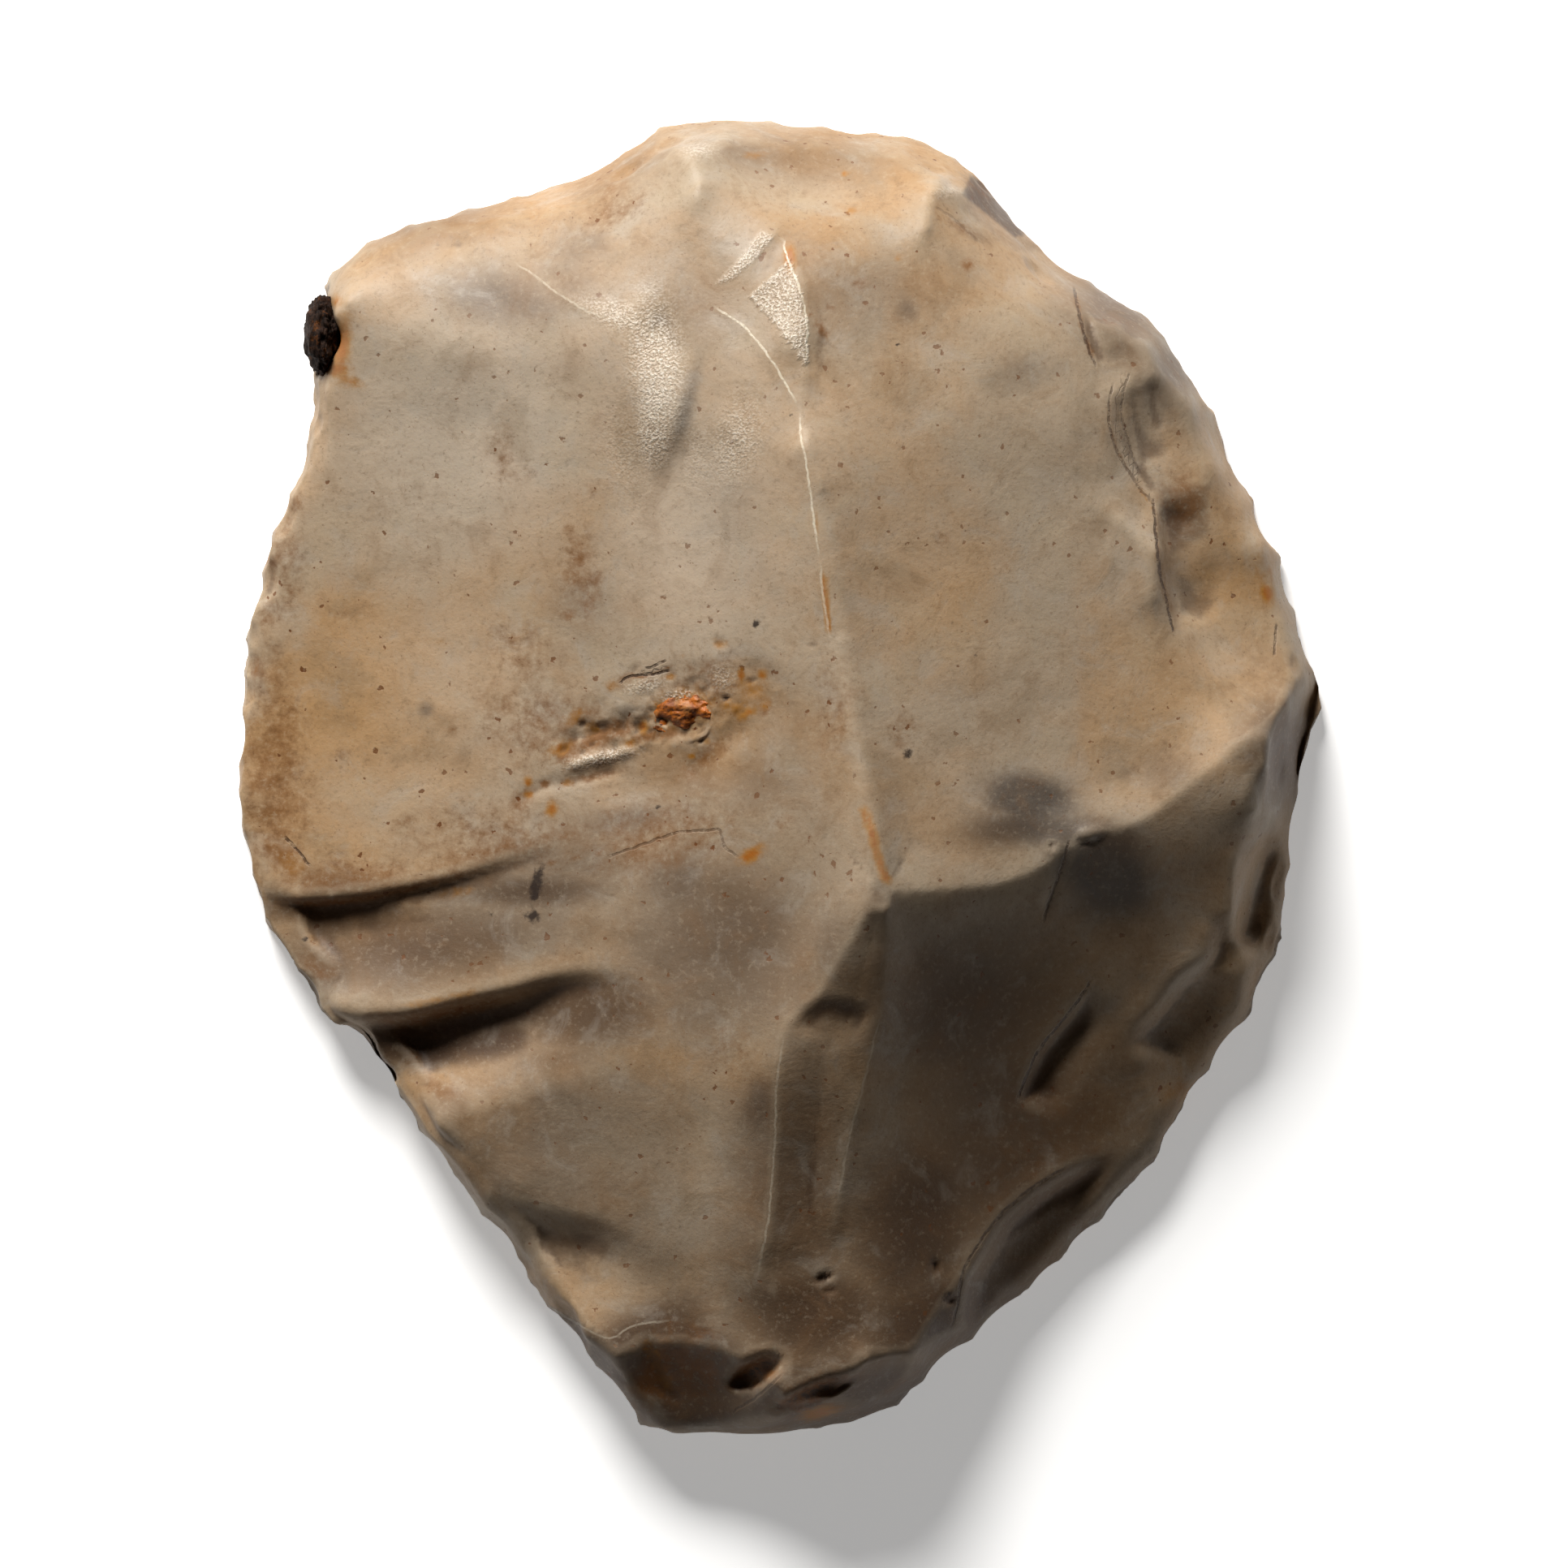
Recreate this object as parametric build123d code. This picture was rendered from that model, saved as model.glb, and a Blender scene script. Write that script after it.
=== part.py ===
from build123d import *
import os
from math import cos, radians, sin, sqrt, tan

# A flint scraper: one broad flake of patinated flint, worked from its upper face.
# The flake lies on its smooth lower face, with the butt that was struck towards -Y.
# Its upper face is a set of old flake scars that meet in sharp ridges, and its margin
# is chipped all round to a steep scraping edge. Each scar is taken off a blank as a
# shallow round hollow, as a blow takes it off the stone.
# Two other minerals sit in the stone: a dark crust on the left margin, and a rusty
# deposit in a pit beside the main ridge. Lengths are in millimetres, angles in degrees.

# Driving sizes of the stone. THICKNESS is its height at the crossing of the ridges.
LENGTH = 62.0
WIDTH = 51.2
THICKNESS = 13.5

# Radius of the hollow that each kind of blow leaves
BROAD_HOLLOW = 165.0
FACET_HOLLOW = 45.0
TRIM_HOLLOW = 28.0
CHIP_HOLLOW = 20.0
NIBBLE_HOLLOW = 11.0

# Radius of the narrow and wide troughs where a blow rippled
NARROW_RIPPLE = 5.0
WIDE_RIPPLE = 11.0

# Fine chips round the margin, which lean in above a thin upright lip at the very edge.
# They differ from one to the next by the share that is given as unevenness.
RETOUCH_PITCH = 2.8
RETOUCH_SLOPE = 76.0
RETOUCH_HEIGHT = 7.0
RETOUCH_BITE = 0.24
RETOUCH_UNEVENNESS = 0.4
EDGE_LIP = 0.5

# Flat butt that the blow fell on: it leans out from the lower face up to its rim
BUTT_RIM = 3.0
BUTT_LEAN = 18.0

# Lower face: a dished belly, a hollow on each side of the bulb, and a scar on the bulb
BELLY_SPAN = 38.0
BELLY_DEPTH = 0.6
FLANK_SPAN = 12.0
FLANK_DEPTH = 0.4
FLANK_OFFSET = 9.5
BULB_SCAR_SPAN = 6.5
BULB_SCAR_DEPTH = 0.22

# Dark crust on the left margin
CRUST_RADIUS = 2.1
CRUST_FLOOR = 1.2

# Lobed pit in the left face, and the rusty deposit that fills its middle
PIT_SPAN = 6.6
PIT_DEPTH = 0.3
DEPOSIT_RADIUS = 1.2
DEPOSIT_DEPTH = 1.1

# Sides of the crust and of the deposit, whose seats are flat so that they bed exactly
CRUST_SIDES = 7
DEPOSIT_SIDES = 7

# Outline from above, anticlockwise from the right end of the butt to its left end.
# Each point is a share of half the width and of half the length.
OUTLINE = [
    (0.0, -1.0),
    (0.13, -0.98),
    (0.24, -0.935),
    (0.34, -0.85),
    (0.46, -0.77),
    (0.55, -0.685),
    (0.67, -0.60),
    (0.75, -0.49),
    (0.84, -0.38),
    (0.91, -0.28),
    (0.925, -0.18),
    (0.945, -0.08),
    (0.955, 0.02),
    (1.0, 0.12),
    (0.945, 0.25),
    (0.90, 0.39),
    (0.80, 0.52),
    (0.765, 0.61),
    (0.64, 0.72),
    (0.49, 0.80),
    (0.37, 0.91),
    (0.22, 0.975),
    (0.0, 1.0),
    (-0.18, 1.0),
    (-0.29, 0.935),
    (-0.53, 0.865),
    (-0.73, 0.83),
    (-0.82, 0.76),
    (-0.88, 0.66),
    (-0.86, 0.56),
    (-0.91, 0.42),
    (-0.96, 0.30),
    (-0.995, 0.12),
    (-0.995, -0.05),
    (-0.95, -0.20),
    (-0.87, -0.33),
    (-0.75, -0.43),
    (-0.64, -0.56),
    (-0.50, -0.70),
    (-0.40, -0.83),
    (-0.30, -0.935),
    (-0.24, -0.99),
]

# Scars of the upper face, by the kind of blow. Each gives where its hollow touches the
# stone (across, along, height), and how much it falls there towards +X and towards +Y.
# Heights are shares of the thickness, and a fall of 1 loses the whole thickness over
# half the width or half the length.
LEFT_FACE = (-0.51, 0.29, 0.459, -0.69, -0.19)
BROAD_SCARS = [
    LEFT_FACE,
    (0.43, 0.32, 0.726, 0.63, 0.08),
    (0.27, 0.81, 0.667, 0.42, 0.58),
]
FACET_SCARS = [
    (0.34, -0.46, 0.519, 0.97, -0.73),
    (0.66, -0.27, 0.489, 1.07, -0.75),
    (0.04, -0.57, 0.69, -0.12, -0.75),
    (-0.27, -0.58, 0.50, -0.72, -0.42),
    (-0.24, 0.81, 0.659, -0.30, 0.47),
]
TRIM_SCARS = [
    (-0.01, 0.69, 0.856, -0.46, 0.15),
    (-0.54, 0.83, 0.30, -0.60, 1.79),
    (0.07, 0.97, 0.30, 0.32, 2.30),
    (0.42, 0.87, 0.311, 1.34, 1.62),
]
CHIP_SCARS = [
    (0.67, 0.67, 0.393, 0.77, 0.78),
    (0.55, -0.43, 0.385, 0.99, -1.16),
    (0.50, -0.70, 0.19, 1.20, -1.45),
]
NIBBLE_SCARS = [
    (0.72, 0.51, 0.385, 0.99, 0.25),
    (0.82, 0.31, 0.326, 1.23, 0.0),
    (0.95, 0.08, 0.163, 3.20, -0.80),
    (0.90, -0.16, 0.178, 2.20, -0.60),
    (0.74, -0.36, 0.267, 1.13, -1.36),
    (-0.19, -0.90, 0.326, -0.47, -1.57),
    (0.22, -0.93, 0.267, 0.99, -2.25),
]
SCARS = {
    BROAD_HOLLOW: BROAD_SCARS,
    FACET_HOLLOW: FACET_SCARS,
    TRIM_HOLLOW: TRIM_SCARS,
    CHIP_HOLLOW: CHIP_SCARS,
    NIBBLE_HOLLOW: NIBBLE_SCARS,
}

# Ripples of the left face: the floor of each trough runs between two places
RIPPLES = [
    ((-0.94, -0.26, 0.075), (-0.30, -0.16, 0.605), NARROW_RIPPLE),
    ((-0.82, -0.46, 0.165), (-0.12, -0.37, 0.725), NARROW_RIPPLE),
    ((-0.55, -0.78, 0.238), (-0.15, -0.88, 0.455), WIDE_RIPPLE),
]

# Places of the lower face's middle, of its bulb, of the crust and of the deposit
BELLY_PLACE = (0.0, 0.12)
BULB_PLACE = (-0.02, -0.66)
CRUST_PLACE = (-0.872, 0.67)
DEPOSIT_PLACE = (-0.17, 0.10)

# Lobes of the pit round the deposit: place, and share of its span
PIT_LOBES = [
    (-0.27, 0.04, 0.8),
    (-0.18, 0.095, 1.0),
    (-0.08, 0.13, 0.7),
]


def place(across, along, height=0.0):
    """A place on the stone, from shares of half its width, half its length and its height."""
    return Vector(across * WIDTH / 2, along * LENGTH / 2, height * THICKNESS)


def upward(fall_across, fall_along):
    """The upward direction, square to a face that falls as given."""
    run_across = fall_across * THICKNESS / (WIDTH / 2)
    run_along = fall_along * THICKNESS / (LENGTH / 2)
    return Vector(run_across, run_along, 1).normalized()


def hollow(touch, up, radius):
    """A ball that touches the stone at one point, square to the direction up."""
    level = up.cross(Vector(0, 0, 1)).normalized()
    seat = Plane(origin=touch + up * radius, x_dir=up, z_dir=level)
    return seat * Sphere(radius)


def lens_radius(span, depth):
    """Radius of the ball whose cap has a given span and depth."""
    return (span**2 / 4 + depth**2) / (2 * depth)


def ripple(start, end, radius):
    """A long round trough whose floor runs between two places and past both."""
    floor_start = place(*start)
    floor_end = place(*end)
    run = (floor_end - floor_start).normalized()
    level = Vector(0, 0, 1).cross(run).normalized()
    up = run.cross(level)
    middle = (floor_start + floor_end) / 2
    seat = Plane(origin=middle + up * radius, x_dir=up, z_dir=run)
    return seat * Cylinder(radius, LENGTH)


def dish(middle, span, depth):
    """A ball that takes a shallow round dish out of the lower face."""
    radius = lens_radius(span, depth)
    return Pos(middle.X, middle.Y, depth - radius) * Sphere(radius)


def face_height(face, radius, across, along):
    """Height at which the hollow of a scar passes over a place."""
    touch = place(*face[:3])
    centre = touch + upward(*face[3:]) * radius
    aside = place(across, along, 0) - centre
    return centre.Z - sqrt(radius**2 - aside.X**2 - aside.Y**2)


def prism(seat, radius, sides, height):
    """An upright many-sided plug on a seat."""
    return extrude(seat * RegularPolygon(radius, sides), amount=height)


def chipped_margin(inset):
    """The margin moved in by some inset: small hollow chips, uneven in length and in bite."""
    points = [place(across, along) for across, along in OUTLINE]
    smooth = Spline(*points)
    count = round(smooth.length / RETOUCH_PITCH)
    length_beat = 1.7
    bite_beat = 5.1
    shares = [0.0]
    for number in range(1, count):
        shift = RETOUCH_UNEVENNESS * sin(length_beat * number)
        shares.append((number + shift) / count)
    shares.append(1.0)
    corners = []
    for share in shares:
        inward = Vector(0, 0, 1).cross(smooth.tangent_at(share)).normalized()
        corners.append(smooth.position_at(share) + inward * inset)
    chips = []
    for number in range(count):
        start = corners[number]
        end = corners[number + 1]
        inward = Vector(0, 0, 1).cross(end - start).normalized()
        bite = RETOUCH_BITE * (1 + RETOUCH_UNEVENNESS * sin(bite_beat * number))
        chips.append(ThreePointArc(start, (start + end) / 2 + inward * bite, end))
    butt = Line(corners[-1], corners[0])
    return make_face(Wire([*chips, butt]))


def blank():
    """The flake with its margin chipped: an upright lip, sides that lean in, and a thick top."""
    lean_in = (RETOUCH_HEIGHT - EDGE_LIP) / tan(radians(RETOUCH_SLOPE))
    edge = chipped_margin(0)
    rim = Pos(0, 0, RETOUCH_HEIGHT) * chipped_margin(lean_in)
    lip = extrude(edge, amount=EDGE_LIP)
    sides = loft([Pos(0, 0, EDGE_LIP) * edge, rim], ruled=True)
    return lip + sides + extrude(rim, amount=THICKNESS)


def scarred(stone):
    """The stone with the large scars and the ripples of its upper face."""
    for radius, faces in SCARS.items():
        for face in faces:
            stone -= hollow(place(*face[:3]), upward(*face[3:]), radius)
    for start, end, radius in RIPPLES:
        stone -= ripple(start, end, radius)
    return stone


def butt_cut():
    """The block that the leaning butt takes off under its rim."""
    rim = place(0, OUTLINE[0][1]) + Vector(0, 0, BUTT_RIM)
    outward = Vector(0, -cos(radians(BUTT_LEAN)), -sin(radians(BUTT_LEAN)))
    seat = Plane(origin=rim, x_dir=(1, 0, 0), z_dir=outward)
    low = (Align.CENTER, Align.CENTER, Align.MIN)
    return seat * Box(WIDTH, LENGTH, LENGTH, align=low)


def lower_face(stone):
    """The stone with its lower face dished between the places that it rests on."""
    bulb = place(*BULB_PLACE)
    side = Vector(FLANK_OFFSET, 0, 0)
    stone -= dish(place(*BELLY_PLACE), BELLY_SPAN, BELLY_DEPTH)
    stone -= dish(bulb - side, FLANK_SPAN, FLANK_DEPTH)
    stone -= dish(bulb + side, FLANK_SPAN, FLANK_DEPTH)
    stone -= dish(bulb, BULB_SCAR_SPAN, BULB_SCAR_DEPTH)
    return stone


def crust_plug():
    """The seat of the dark crust: a plug on the margin, from its floor up through the stone."""
    seat = Plane(origin=place(*CRUST_PLACE) + Vector(0, 0, CRUST_FLOOR))
    return prism(seat, CRUST_RADIUS, CRUST_SIDES, THICKNESS)


def on_left_face(across, along):
    """The point of the left face over a place."""
    height = face_height(LEFT_FACE, BROAD_HOLLOW, across, along)
    return place(across, along) + Vector(0, 0, height)


def deposit_plug():
    """The seat of the rusty deposit: a plug from its floor up to the old face."""
    up = upward(*LEFT_FACE[3:])
    seat = Plane(origin=on_left_face(*DEPOSIT_PLACE) - up * DEPOSIT_DEPTH, z_dir=up)
    return prism(seat, DEPOSIT_RADIUS, DEPOSIT_SIDES, 2 * DEPOSIT_DEPTH)


def pitted(stone):
    """The stone with the lobed pit in its left face."""
    up = upward(*LEFT_FACE[3:])
    for across, along, share in PIT_LOBES:
        floor = on_left_face(across, along) - up * PIT_DEPTH
        stone -= hollow(floor, up, lens_radius(share * PIT_SPAN, PIT_DEPTH))
    return stone


stone = lower_face(scarred(blank()) - butt_cut())

# The origin is on the table, under the middle of the stone
middle = stone.bounding_box().center()
centred = Pos(-middle.X, -middle.Y, 0)

pieces = {
    "flint_flake": pitted(stone - crust_plug() - deposit_plug()),
    "cortex_crust": stone & crust_plug(),
    "iron_oxide_infill": stone & deposit_plug(),
}
os.makedirs("parts", exist_ok=True)
for name, piece in pieces.items():
    export_step(centred * piece, f"parts/{name}.step")
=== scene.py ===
import math
import random

import bmesh
import bpy
import numpy as np
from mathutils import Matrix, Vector, kdtree, noise
from mathutils.bvhtree import BVHTree


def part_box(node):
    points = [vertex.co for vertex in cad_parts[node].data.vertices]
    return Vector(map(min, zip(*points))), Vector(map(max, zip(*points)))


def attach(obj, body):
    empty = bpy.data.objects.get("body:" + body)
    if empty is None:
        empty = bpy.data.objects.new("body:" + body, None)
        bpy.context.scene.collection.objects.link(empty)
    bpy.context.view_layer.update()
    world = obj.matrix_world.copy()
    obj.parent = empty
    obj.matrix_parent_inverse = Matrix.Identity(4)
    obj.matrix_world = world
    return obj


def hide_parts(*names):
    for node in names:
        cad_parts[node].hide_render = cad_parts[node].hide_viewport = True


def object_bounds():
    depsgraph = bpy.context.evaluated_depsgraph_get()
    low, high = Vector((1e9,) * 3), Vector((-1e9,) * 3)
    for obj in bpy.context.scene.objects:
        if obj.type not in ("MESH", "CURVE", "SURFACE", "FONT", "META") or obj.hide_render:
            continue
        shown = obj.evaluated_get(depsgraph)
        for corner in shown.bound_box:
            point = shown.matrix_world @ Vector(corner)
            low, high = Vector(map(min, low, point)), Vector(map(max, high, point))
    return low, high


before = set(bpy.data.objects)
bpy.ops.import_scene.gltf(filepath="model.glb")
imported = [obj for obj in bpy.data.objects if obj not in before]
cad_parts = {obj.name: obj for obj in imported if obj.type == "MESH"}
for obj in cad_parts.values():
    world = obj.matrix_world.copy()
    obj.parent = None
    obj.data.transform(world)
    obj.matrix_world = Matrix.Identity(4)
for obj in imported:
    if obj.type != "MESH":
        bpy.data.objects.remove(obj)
cad_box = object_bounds()


# ---- The flint ----
# One flake of pale, patinated flint, struck off a nodule and trimmed all round by hand.
# Its back is a set of hollow scars that meet in arrises, its underside one smooth fracture,
# and the surface is a weathered skin of beige and grey, stained by iron and soil.

MM = 0.001
COARSE_GRAIN = 0.50 * MM
FLAT_FACETS = math.radians(16)


def shape_copy(node_name):
    shape = bmesh.new()
    shape.from_mesh(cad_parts[node_name].data)
    bmesh.ops.remove_doubles(shape, verts=shape.verts, dist=1e-7)
    return shape


def as_object(shape, name):
    mesh = bpy.data.meshes.new(name)
    shape.to_mesh(mesh)
    piece = bpy.data.objects.new(name, mesh)
    bpy.context.scene.collection.objects.link(piece)
    return piece


def even_mesh(piece, grain):
    remesh = piece.modifiers.new("even", "REMESH")
    remesh.mode = "VOXEL"
    remesh.voxel_size = grain
    evaluated = piece.evaluated_get(bpy.context.evaluated_depsgraph_get())
    mesh = bpy.data.meshes.new_from_object(evaluated)
    piece.modifiers.clear()
    old = piece.data
    piece.data = mesh
    bpy.data.meshes.remove(old)
    mesh.name = piece.name


def smooth(share):
    share = np.clip(share, 0.0, 1.0)
    return share * share * (3.0 - 2.0 * share)


def neighbours_mean(places, edges, count):
    total = np.zeros_like(places)
    for axis in range(3):
        total[:, axis] = np.bincount(edges[:, 0], places[edges[:, 1], axis], count)
        total[:, axis] += np.bincount(edges[:, 1], places[edges[:, 0], axis], count)
    met = np.bincount(edges.ravel(), minlength=count)[:, None]
    return total / np.maximum(met, 1)


cad_shape = shape_copy("flint_flake")
cad_skin = BVHTree.FromBMesh(cad_shape)
arris_points = []
for edge in cad_shape.edges:
    if len(edge.link_faces) == 2 and edge.calc_face_angle() > FLAT_FACETS:
        steps = max(1, int(edge.calc_length() / (0.25 * MM)))
        for step in range(steps + 1):
            arris_points.append(edge.verts[0].co.lerp(edge.verts[1].co, step / steps))
arris_tree = kdtree.KDTree(len(arris_points))
for index, point in enumerate(arris_points):
    arris_tree.insert(point, index)
arris_tree.balance()

stone = as_object(cad_shape, "flint_stone")
even_mesh(stone, COARSE_GRAIN)

back = bmesh.new()
back.from_mesh(stone.data)
upper = set()
for face in back.faces:
    if face.normal.z > -0.3:
        upper.update(face.edges)
bmesh.ops.subdivide_edges(back, edges=sorted(upper, key=lambda e: e.index), cuts=1, use_grid_fill=True)
back.edges.index_update()
hollow = [edge for edge in back.edges if edge.verts[0].co.z > 5.0 * MM
          and -12.4 < edge.verts[0].co.x / MM < 0.6 and -2.2 < edge.verts[0].co.y / MM < 6.9]
bmesh.ops.subdivide_edges(back, edges=hollow, cuts=1, use_grid_fill=True)
for vert in back.verts:
    place, normal, face, distance = cad_skin.find_nearest(vert.co)
    vert.co = place
back.to_mesh(stone.data)
back.free()

count = len(stone.data.vertices)
at = np.empty(count * 3)
stone.data.vertices.foreach_get("co", at)
at = at.reshape(-1, 3)
edges = np.empty(len(stone.data.edges) * 2, dtype=np.int64)
stone.data.edges.foreach_get("vertices", edges)
edges = edges.reshape(-1, 2)
from_arris = np.array([arris_tree.find(place)[2] for place in at]) / MM
at = at / MM

away = smooth((from_arris - 0.3) / 0.9)[:, None]
for turn in range(30):
    at += 0.5 * away * (neighbours_mean(at, edges, count) - at)
for turn in range(2):
    at += 0.4 * (neighbours_mean(at, edges, count) - at)

normals = np.empty(count * 3)
stone.data.vertices.foreach_get("normal", normals)
facing = normals.reshape(-1, 3)[:, 2]
dorsal = smooth((facing + 0.05) / 0.3) * smooth((at[:, 2] - 0.7) / 1.2)
ventral = smooth((-facing - 0.4) / 0.4)


def bowed(path, pieces=6):
    """A smooth line through the points of a path."""
    ends = [2 * np.array(path[0]) - path[1]] + [np.array(p) for p in path]
    ends.append(2 * np.array(path[-1]) - path[-2])
    line = []
    for a, b, c, d in zip(ends, ends[1:], ends[2:], ends[3:]):
        for step in range(pieces):
            t = step / pieces
            line.append(0.5 * (2 * b + (c - a) * t + (2 * a - 5 * b + 4 * c - d) * t ** 2
                               + (3 * b - a - 3 * c + d) * t ** 3))
    line.append(ends[-2])
    return np.array(line)


def beside(path, reach, side=dorsal):
    """The points of one side of the flake near a path: which, how far right of it, and how far along."""
    line = bowed(path)
    low, high = line.min(0) - reach, line.max(0) + reach
    near = np.flatnonzero((side > 0) & (at[:, 0] > low[0]) & (at[:, 0] < high[0])
                          & (at[:, 1] > low[1]) & (at[:, 1] < high[1]))
    spot = at[near, :2]
    best = np.full(len(near), 1e9)
    across = np.zeros(len(near))
    share = np.zeros(len(near))
    runs = np.linalg.norm(np.diff(line, axis=0), axis=1)
    begun = np.concatenate([[0], np.cumsum(runs)])
    for index, (a, b) in enumerate(zip(line, line[1:])):
        along = b - a
        t = np.clip(((spot - a) @ along) / (along @ along), 0, 1)
        gap = spot - a - t[:, None] * along
        length = np.hypot(gap[:, 0], gap[:, 1])
        closer = length < best
        best[closer] = length[closer]
        turned = gap[:, 0] * along[1] - gap[:, 1] * along[0]
        across[closer] = (np.sign(turned) * length)[closer]
        share[closer] = ((begun[index] + t * runs[index]) / begun[-1])[closer]
    return near, across, share


def ends_fade(share, start=0.2, end=0.2):
    return smooth(share / start) * smooth((1 - share) / end)


def hinge(path, drop, face, run, lip=0.0, start=0.2, end=0.2):
    """A step that falls off to the right of the path and rises again over the run."""
    near, across, share = beside(path, face + run + 1)
    fall = smooth(across / face) * (1 - smooth((across - face) / run))
    rise = np.exp(-((across + 0.25) / 0.45) ** 2)
    change = (lip * rise - drop * fall) * ends_fade(share, start, end)
    at[near, 2] += change * dorsal[near]


def crease(path, depth, width, start=0.2, end=0.2):
    """A groove along a path, or a raised line where the depth is below nought."""
    near, across, share = beside(path, width * 3)
    cut = depth * np.exp(-(across / width) ** 2) * ends_fade(share, start, end)
    at[near, 2] -= cut * dorsal[near]


def raised_arris(lift, path, heights, left, right, start=0.15, end=0.15):
    """A ridge with hollow flanks, so that its crest stays sharp. Where ridges meet, the higher one counts."""
    near, across, share = beside(path, max(left, right))
    flank = np.where(across < 0, 1 + across / left, 1 - across / right)
    height = heights[0] + (heights[1] - heights[0]) * share
    height = height * np.clip(flank, 0, 1) ** 1.6 * ends_fade(share, start, end)
    lift[near] = np.maximum(lift[near], height)


def wear_down(paths, turns):
    """Rubs out the arrises along these paths, each over its own reach."""
    worn = np.zeros(count)
    for path, reach, amount in paths:
        near, across, share = beside(path, reach)
        rub = amount * (1 - smooth(np.abs(across) / reach)) * ends_fade(share, 0.08, 0.08)
        worn[near] = np.maximum(worn[near], rub)
    for turn in range(turns):
        at[:] += 0.5 * worn[:, None] * (neighbours_mean(at, edges, count) - at)


def scoop(place, half_long, half_wide, turn, depth, rim=0.25):
    """A small hollow with a clear rim, long one way."""
    c, s = math.cos(math.radians(turn)), math.sin(math.radians(turn))
    x, y = at[:, 0] - place[0], at[:, 1] - place[1]
    out = np.sqrt(((x * c + y * s) / half_long) ** 2 + ((y * c - x * s) / half_wide) ** 2)
    at[:, 2] -= depth * (1 - smooth((out - 1 + rim) / (2 * rim))) * (1 - 0.4 * np.minimum(out, 1) ** 2) * dorsal


def swell(places, height, wave, seed, side=dorsal):
    """Slow unevenness of a fracture face."""
    shift = Vector((seed * 7.3, seed * 3.1, seed))
    for index in np.flatnonzero(side > 0):
        bump = noise.noise(Vector(places[index] / wave) + shift)
        places[index, 2] += height * bump * side[index]


# Arrises of the solid model that are only soft swells on the stone.
wear_down([
    ([(1.5, 15.2), (3.8, 15.8), (6.1, 16.7), (11.1, 18.8), (14.9, 20.1)], 4.5, 1.0),
    ([(11.3, 21.5), (9.2, 23.6), (6.9, 25.6)], 2.5, 0.8),
    ([(-8.9, 22.4), (-6.1, 20.5), (-3.8, 19.0), (-1.1, 17.3), (1.1, 15.7)], 3.2, 1.0),
    ([(-20.2, 22.4), (-17.6, 21.9), (-13.7, 21.7), (-8.9, 22.4), (-6.5, 24.4), (-3.9, 27.0)], 3.0, 1.0),
    ([(-3.9, 27.0), (-1.3, 26.0), (1.1, 25.4), (6.9, 25.6)], 2.6, 0.9),
    ([(-16.0, -16.5), (-13.0, -14.6), (-10.0, -13.1), (-6.1, -12.7), (-2.1, -13.0), (0.5, -11.0)], 4.0, 1.0),
    ([(-12.2, -19.7), (-8.4, -20.7), (-2.1, -21.4), (-1.3, -17.6), (-1.0, -13.4)], 3.2, 1.0),
    ([(4.8, -5.9), (3.4, -10.0), (2.8, -13.1), (3.1, -16.9), (3.3, -19.6), (3.8, -23.4), (4.2, -27.2)], 2.6, 1.0),
    ([(-13.0, -4.0), (-9.9, -3.1), (-6.1, -2.4), (-3.1, -2.0), (0.8, -1.6)], 2.2, 1.0),
    ([(1.8, -12.3), (1.5, -16.9), (1.0, -20.7), (0.6, -23.7)], 2.2, 1.0),
    ([(-0.8, -12.1), (1.0, -11.1), (2.0, -10.7), (3.2, -10.8), (5.0, -11.1)], 2.4, 1.0),
    ([(-24.1, -7.3), (-20.2, -8.5), (-15.3, -8.1), (-9.9, -6.6)], 1.6, 0.8),
    ([(17.9, 10.9), (19.5, 11.6), (21.6, 12.8)], 2.2, 1.0),
    ([(17.6, 8.3), (17.9, 6.4), (19.8, 4.4), (22.8, 3.1)], 2.2, 1.0),
    ([(14.7, 17.9), (14.9, 15.3), (15.7, 13.8), (17.0, 14.0)], 1.6, 0.9),
    ([(4.9, -6.1), (6.9, -4.8), (9.9, -3.9), (12.6, -3.5), (15.3, -3.2), (16.8, -3.0), (18.9, -2.1), (22.1, -1.0)], 2.4, 1.0),
], 260)

# The two steps left of the middle, where flakes broke off short, and the soft third one.
hinge([(-24.5, -5.3), (-23.3, -5.7), (-19.9, -5.5), (-18.2, -5.2), (-15.8, -4.7), (-13.8, -4.1), (-11.4, -3.3), (-8.8, -2.6)],
      0.62, 0.45, 4.6, 0.05, 0.08, 0.72)
hinge([(-20.6, -11.0), (-19.4, -11.1), (-17.5, -11.0), (-14.8, -10.3), (-12.6, -9.8), (-10.3, -9.1), (-8.0, -8.9), (-5.3, -9.4)],
      1.90, 1.1, 4.4, 0.10, 0.12, 0.80)
hinge([(-13.9, -19.2), (-11.8, -19.7), (-9.9, -20.1), (-8.0, -20.7), (-6.1, -21.8), (-4.2, -23.4)],
      0.62, 1.7, 3.4, 0.0, 0.15, 0.6)

# The short step in the narrow facet below the fork.
hinge([(0.2, -11.6), (1.1, -10.8), (2.0, -10.2), (3.2, -10.2), (4.7, -10.7)], 0.20, 0.8, 1.8, 0.0, 0.25, 0.15)

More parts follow.
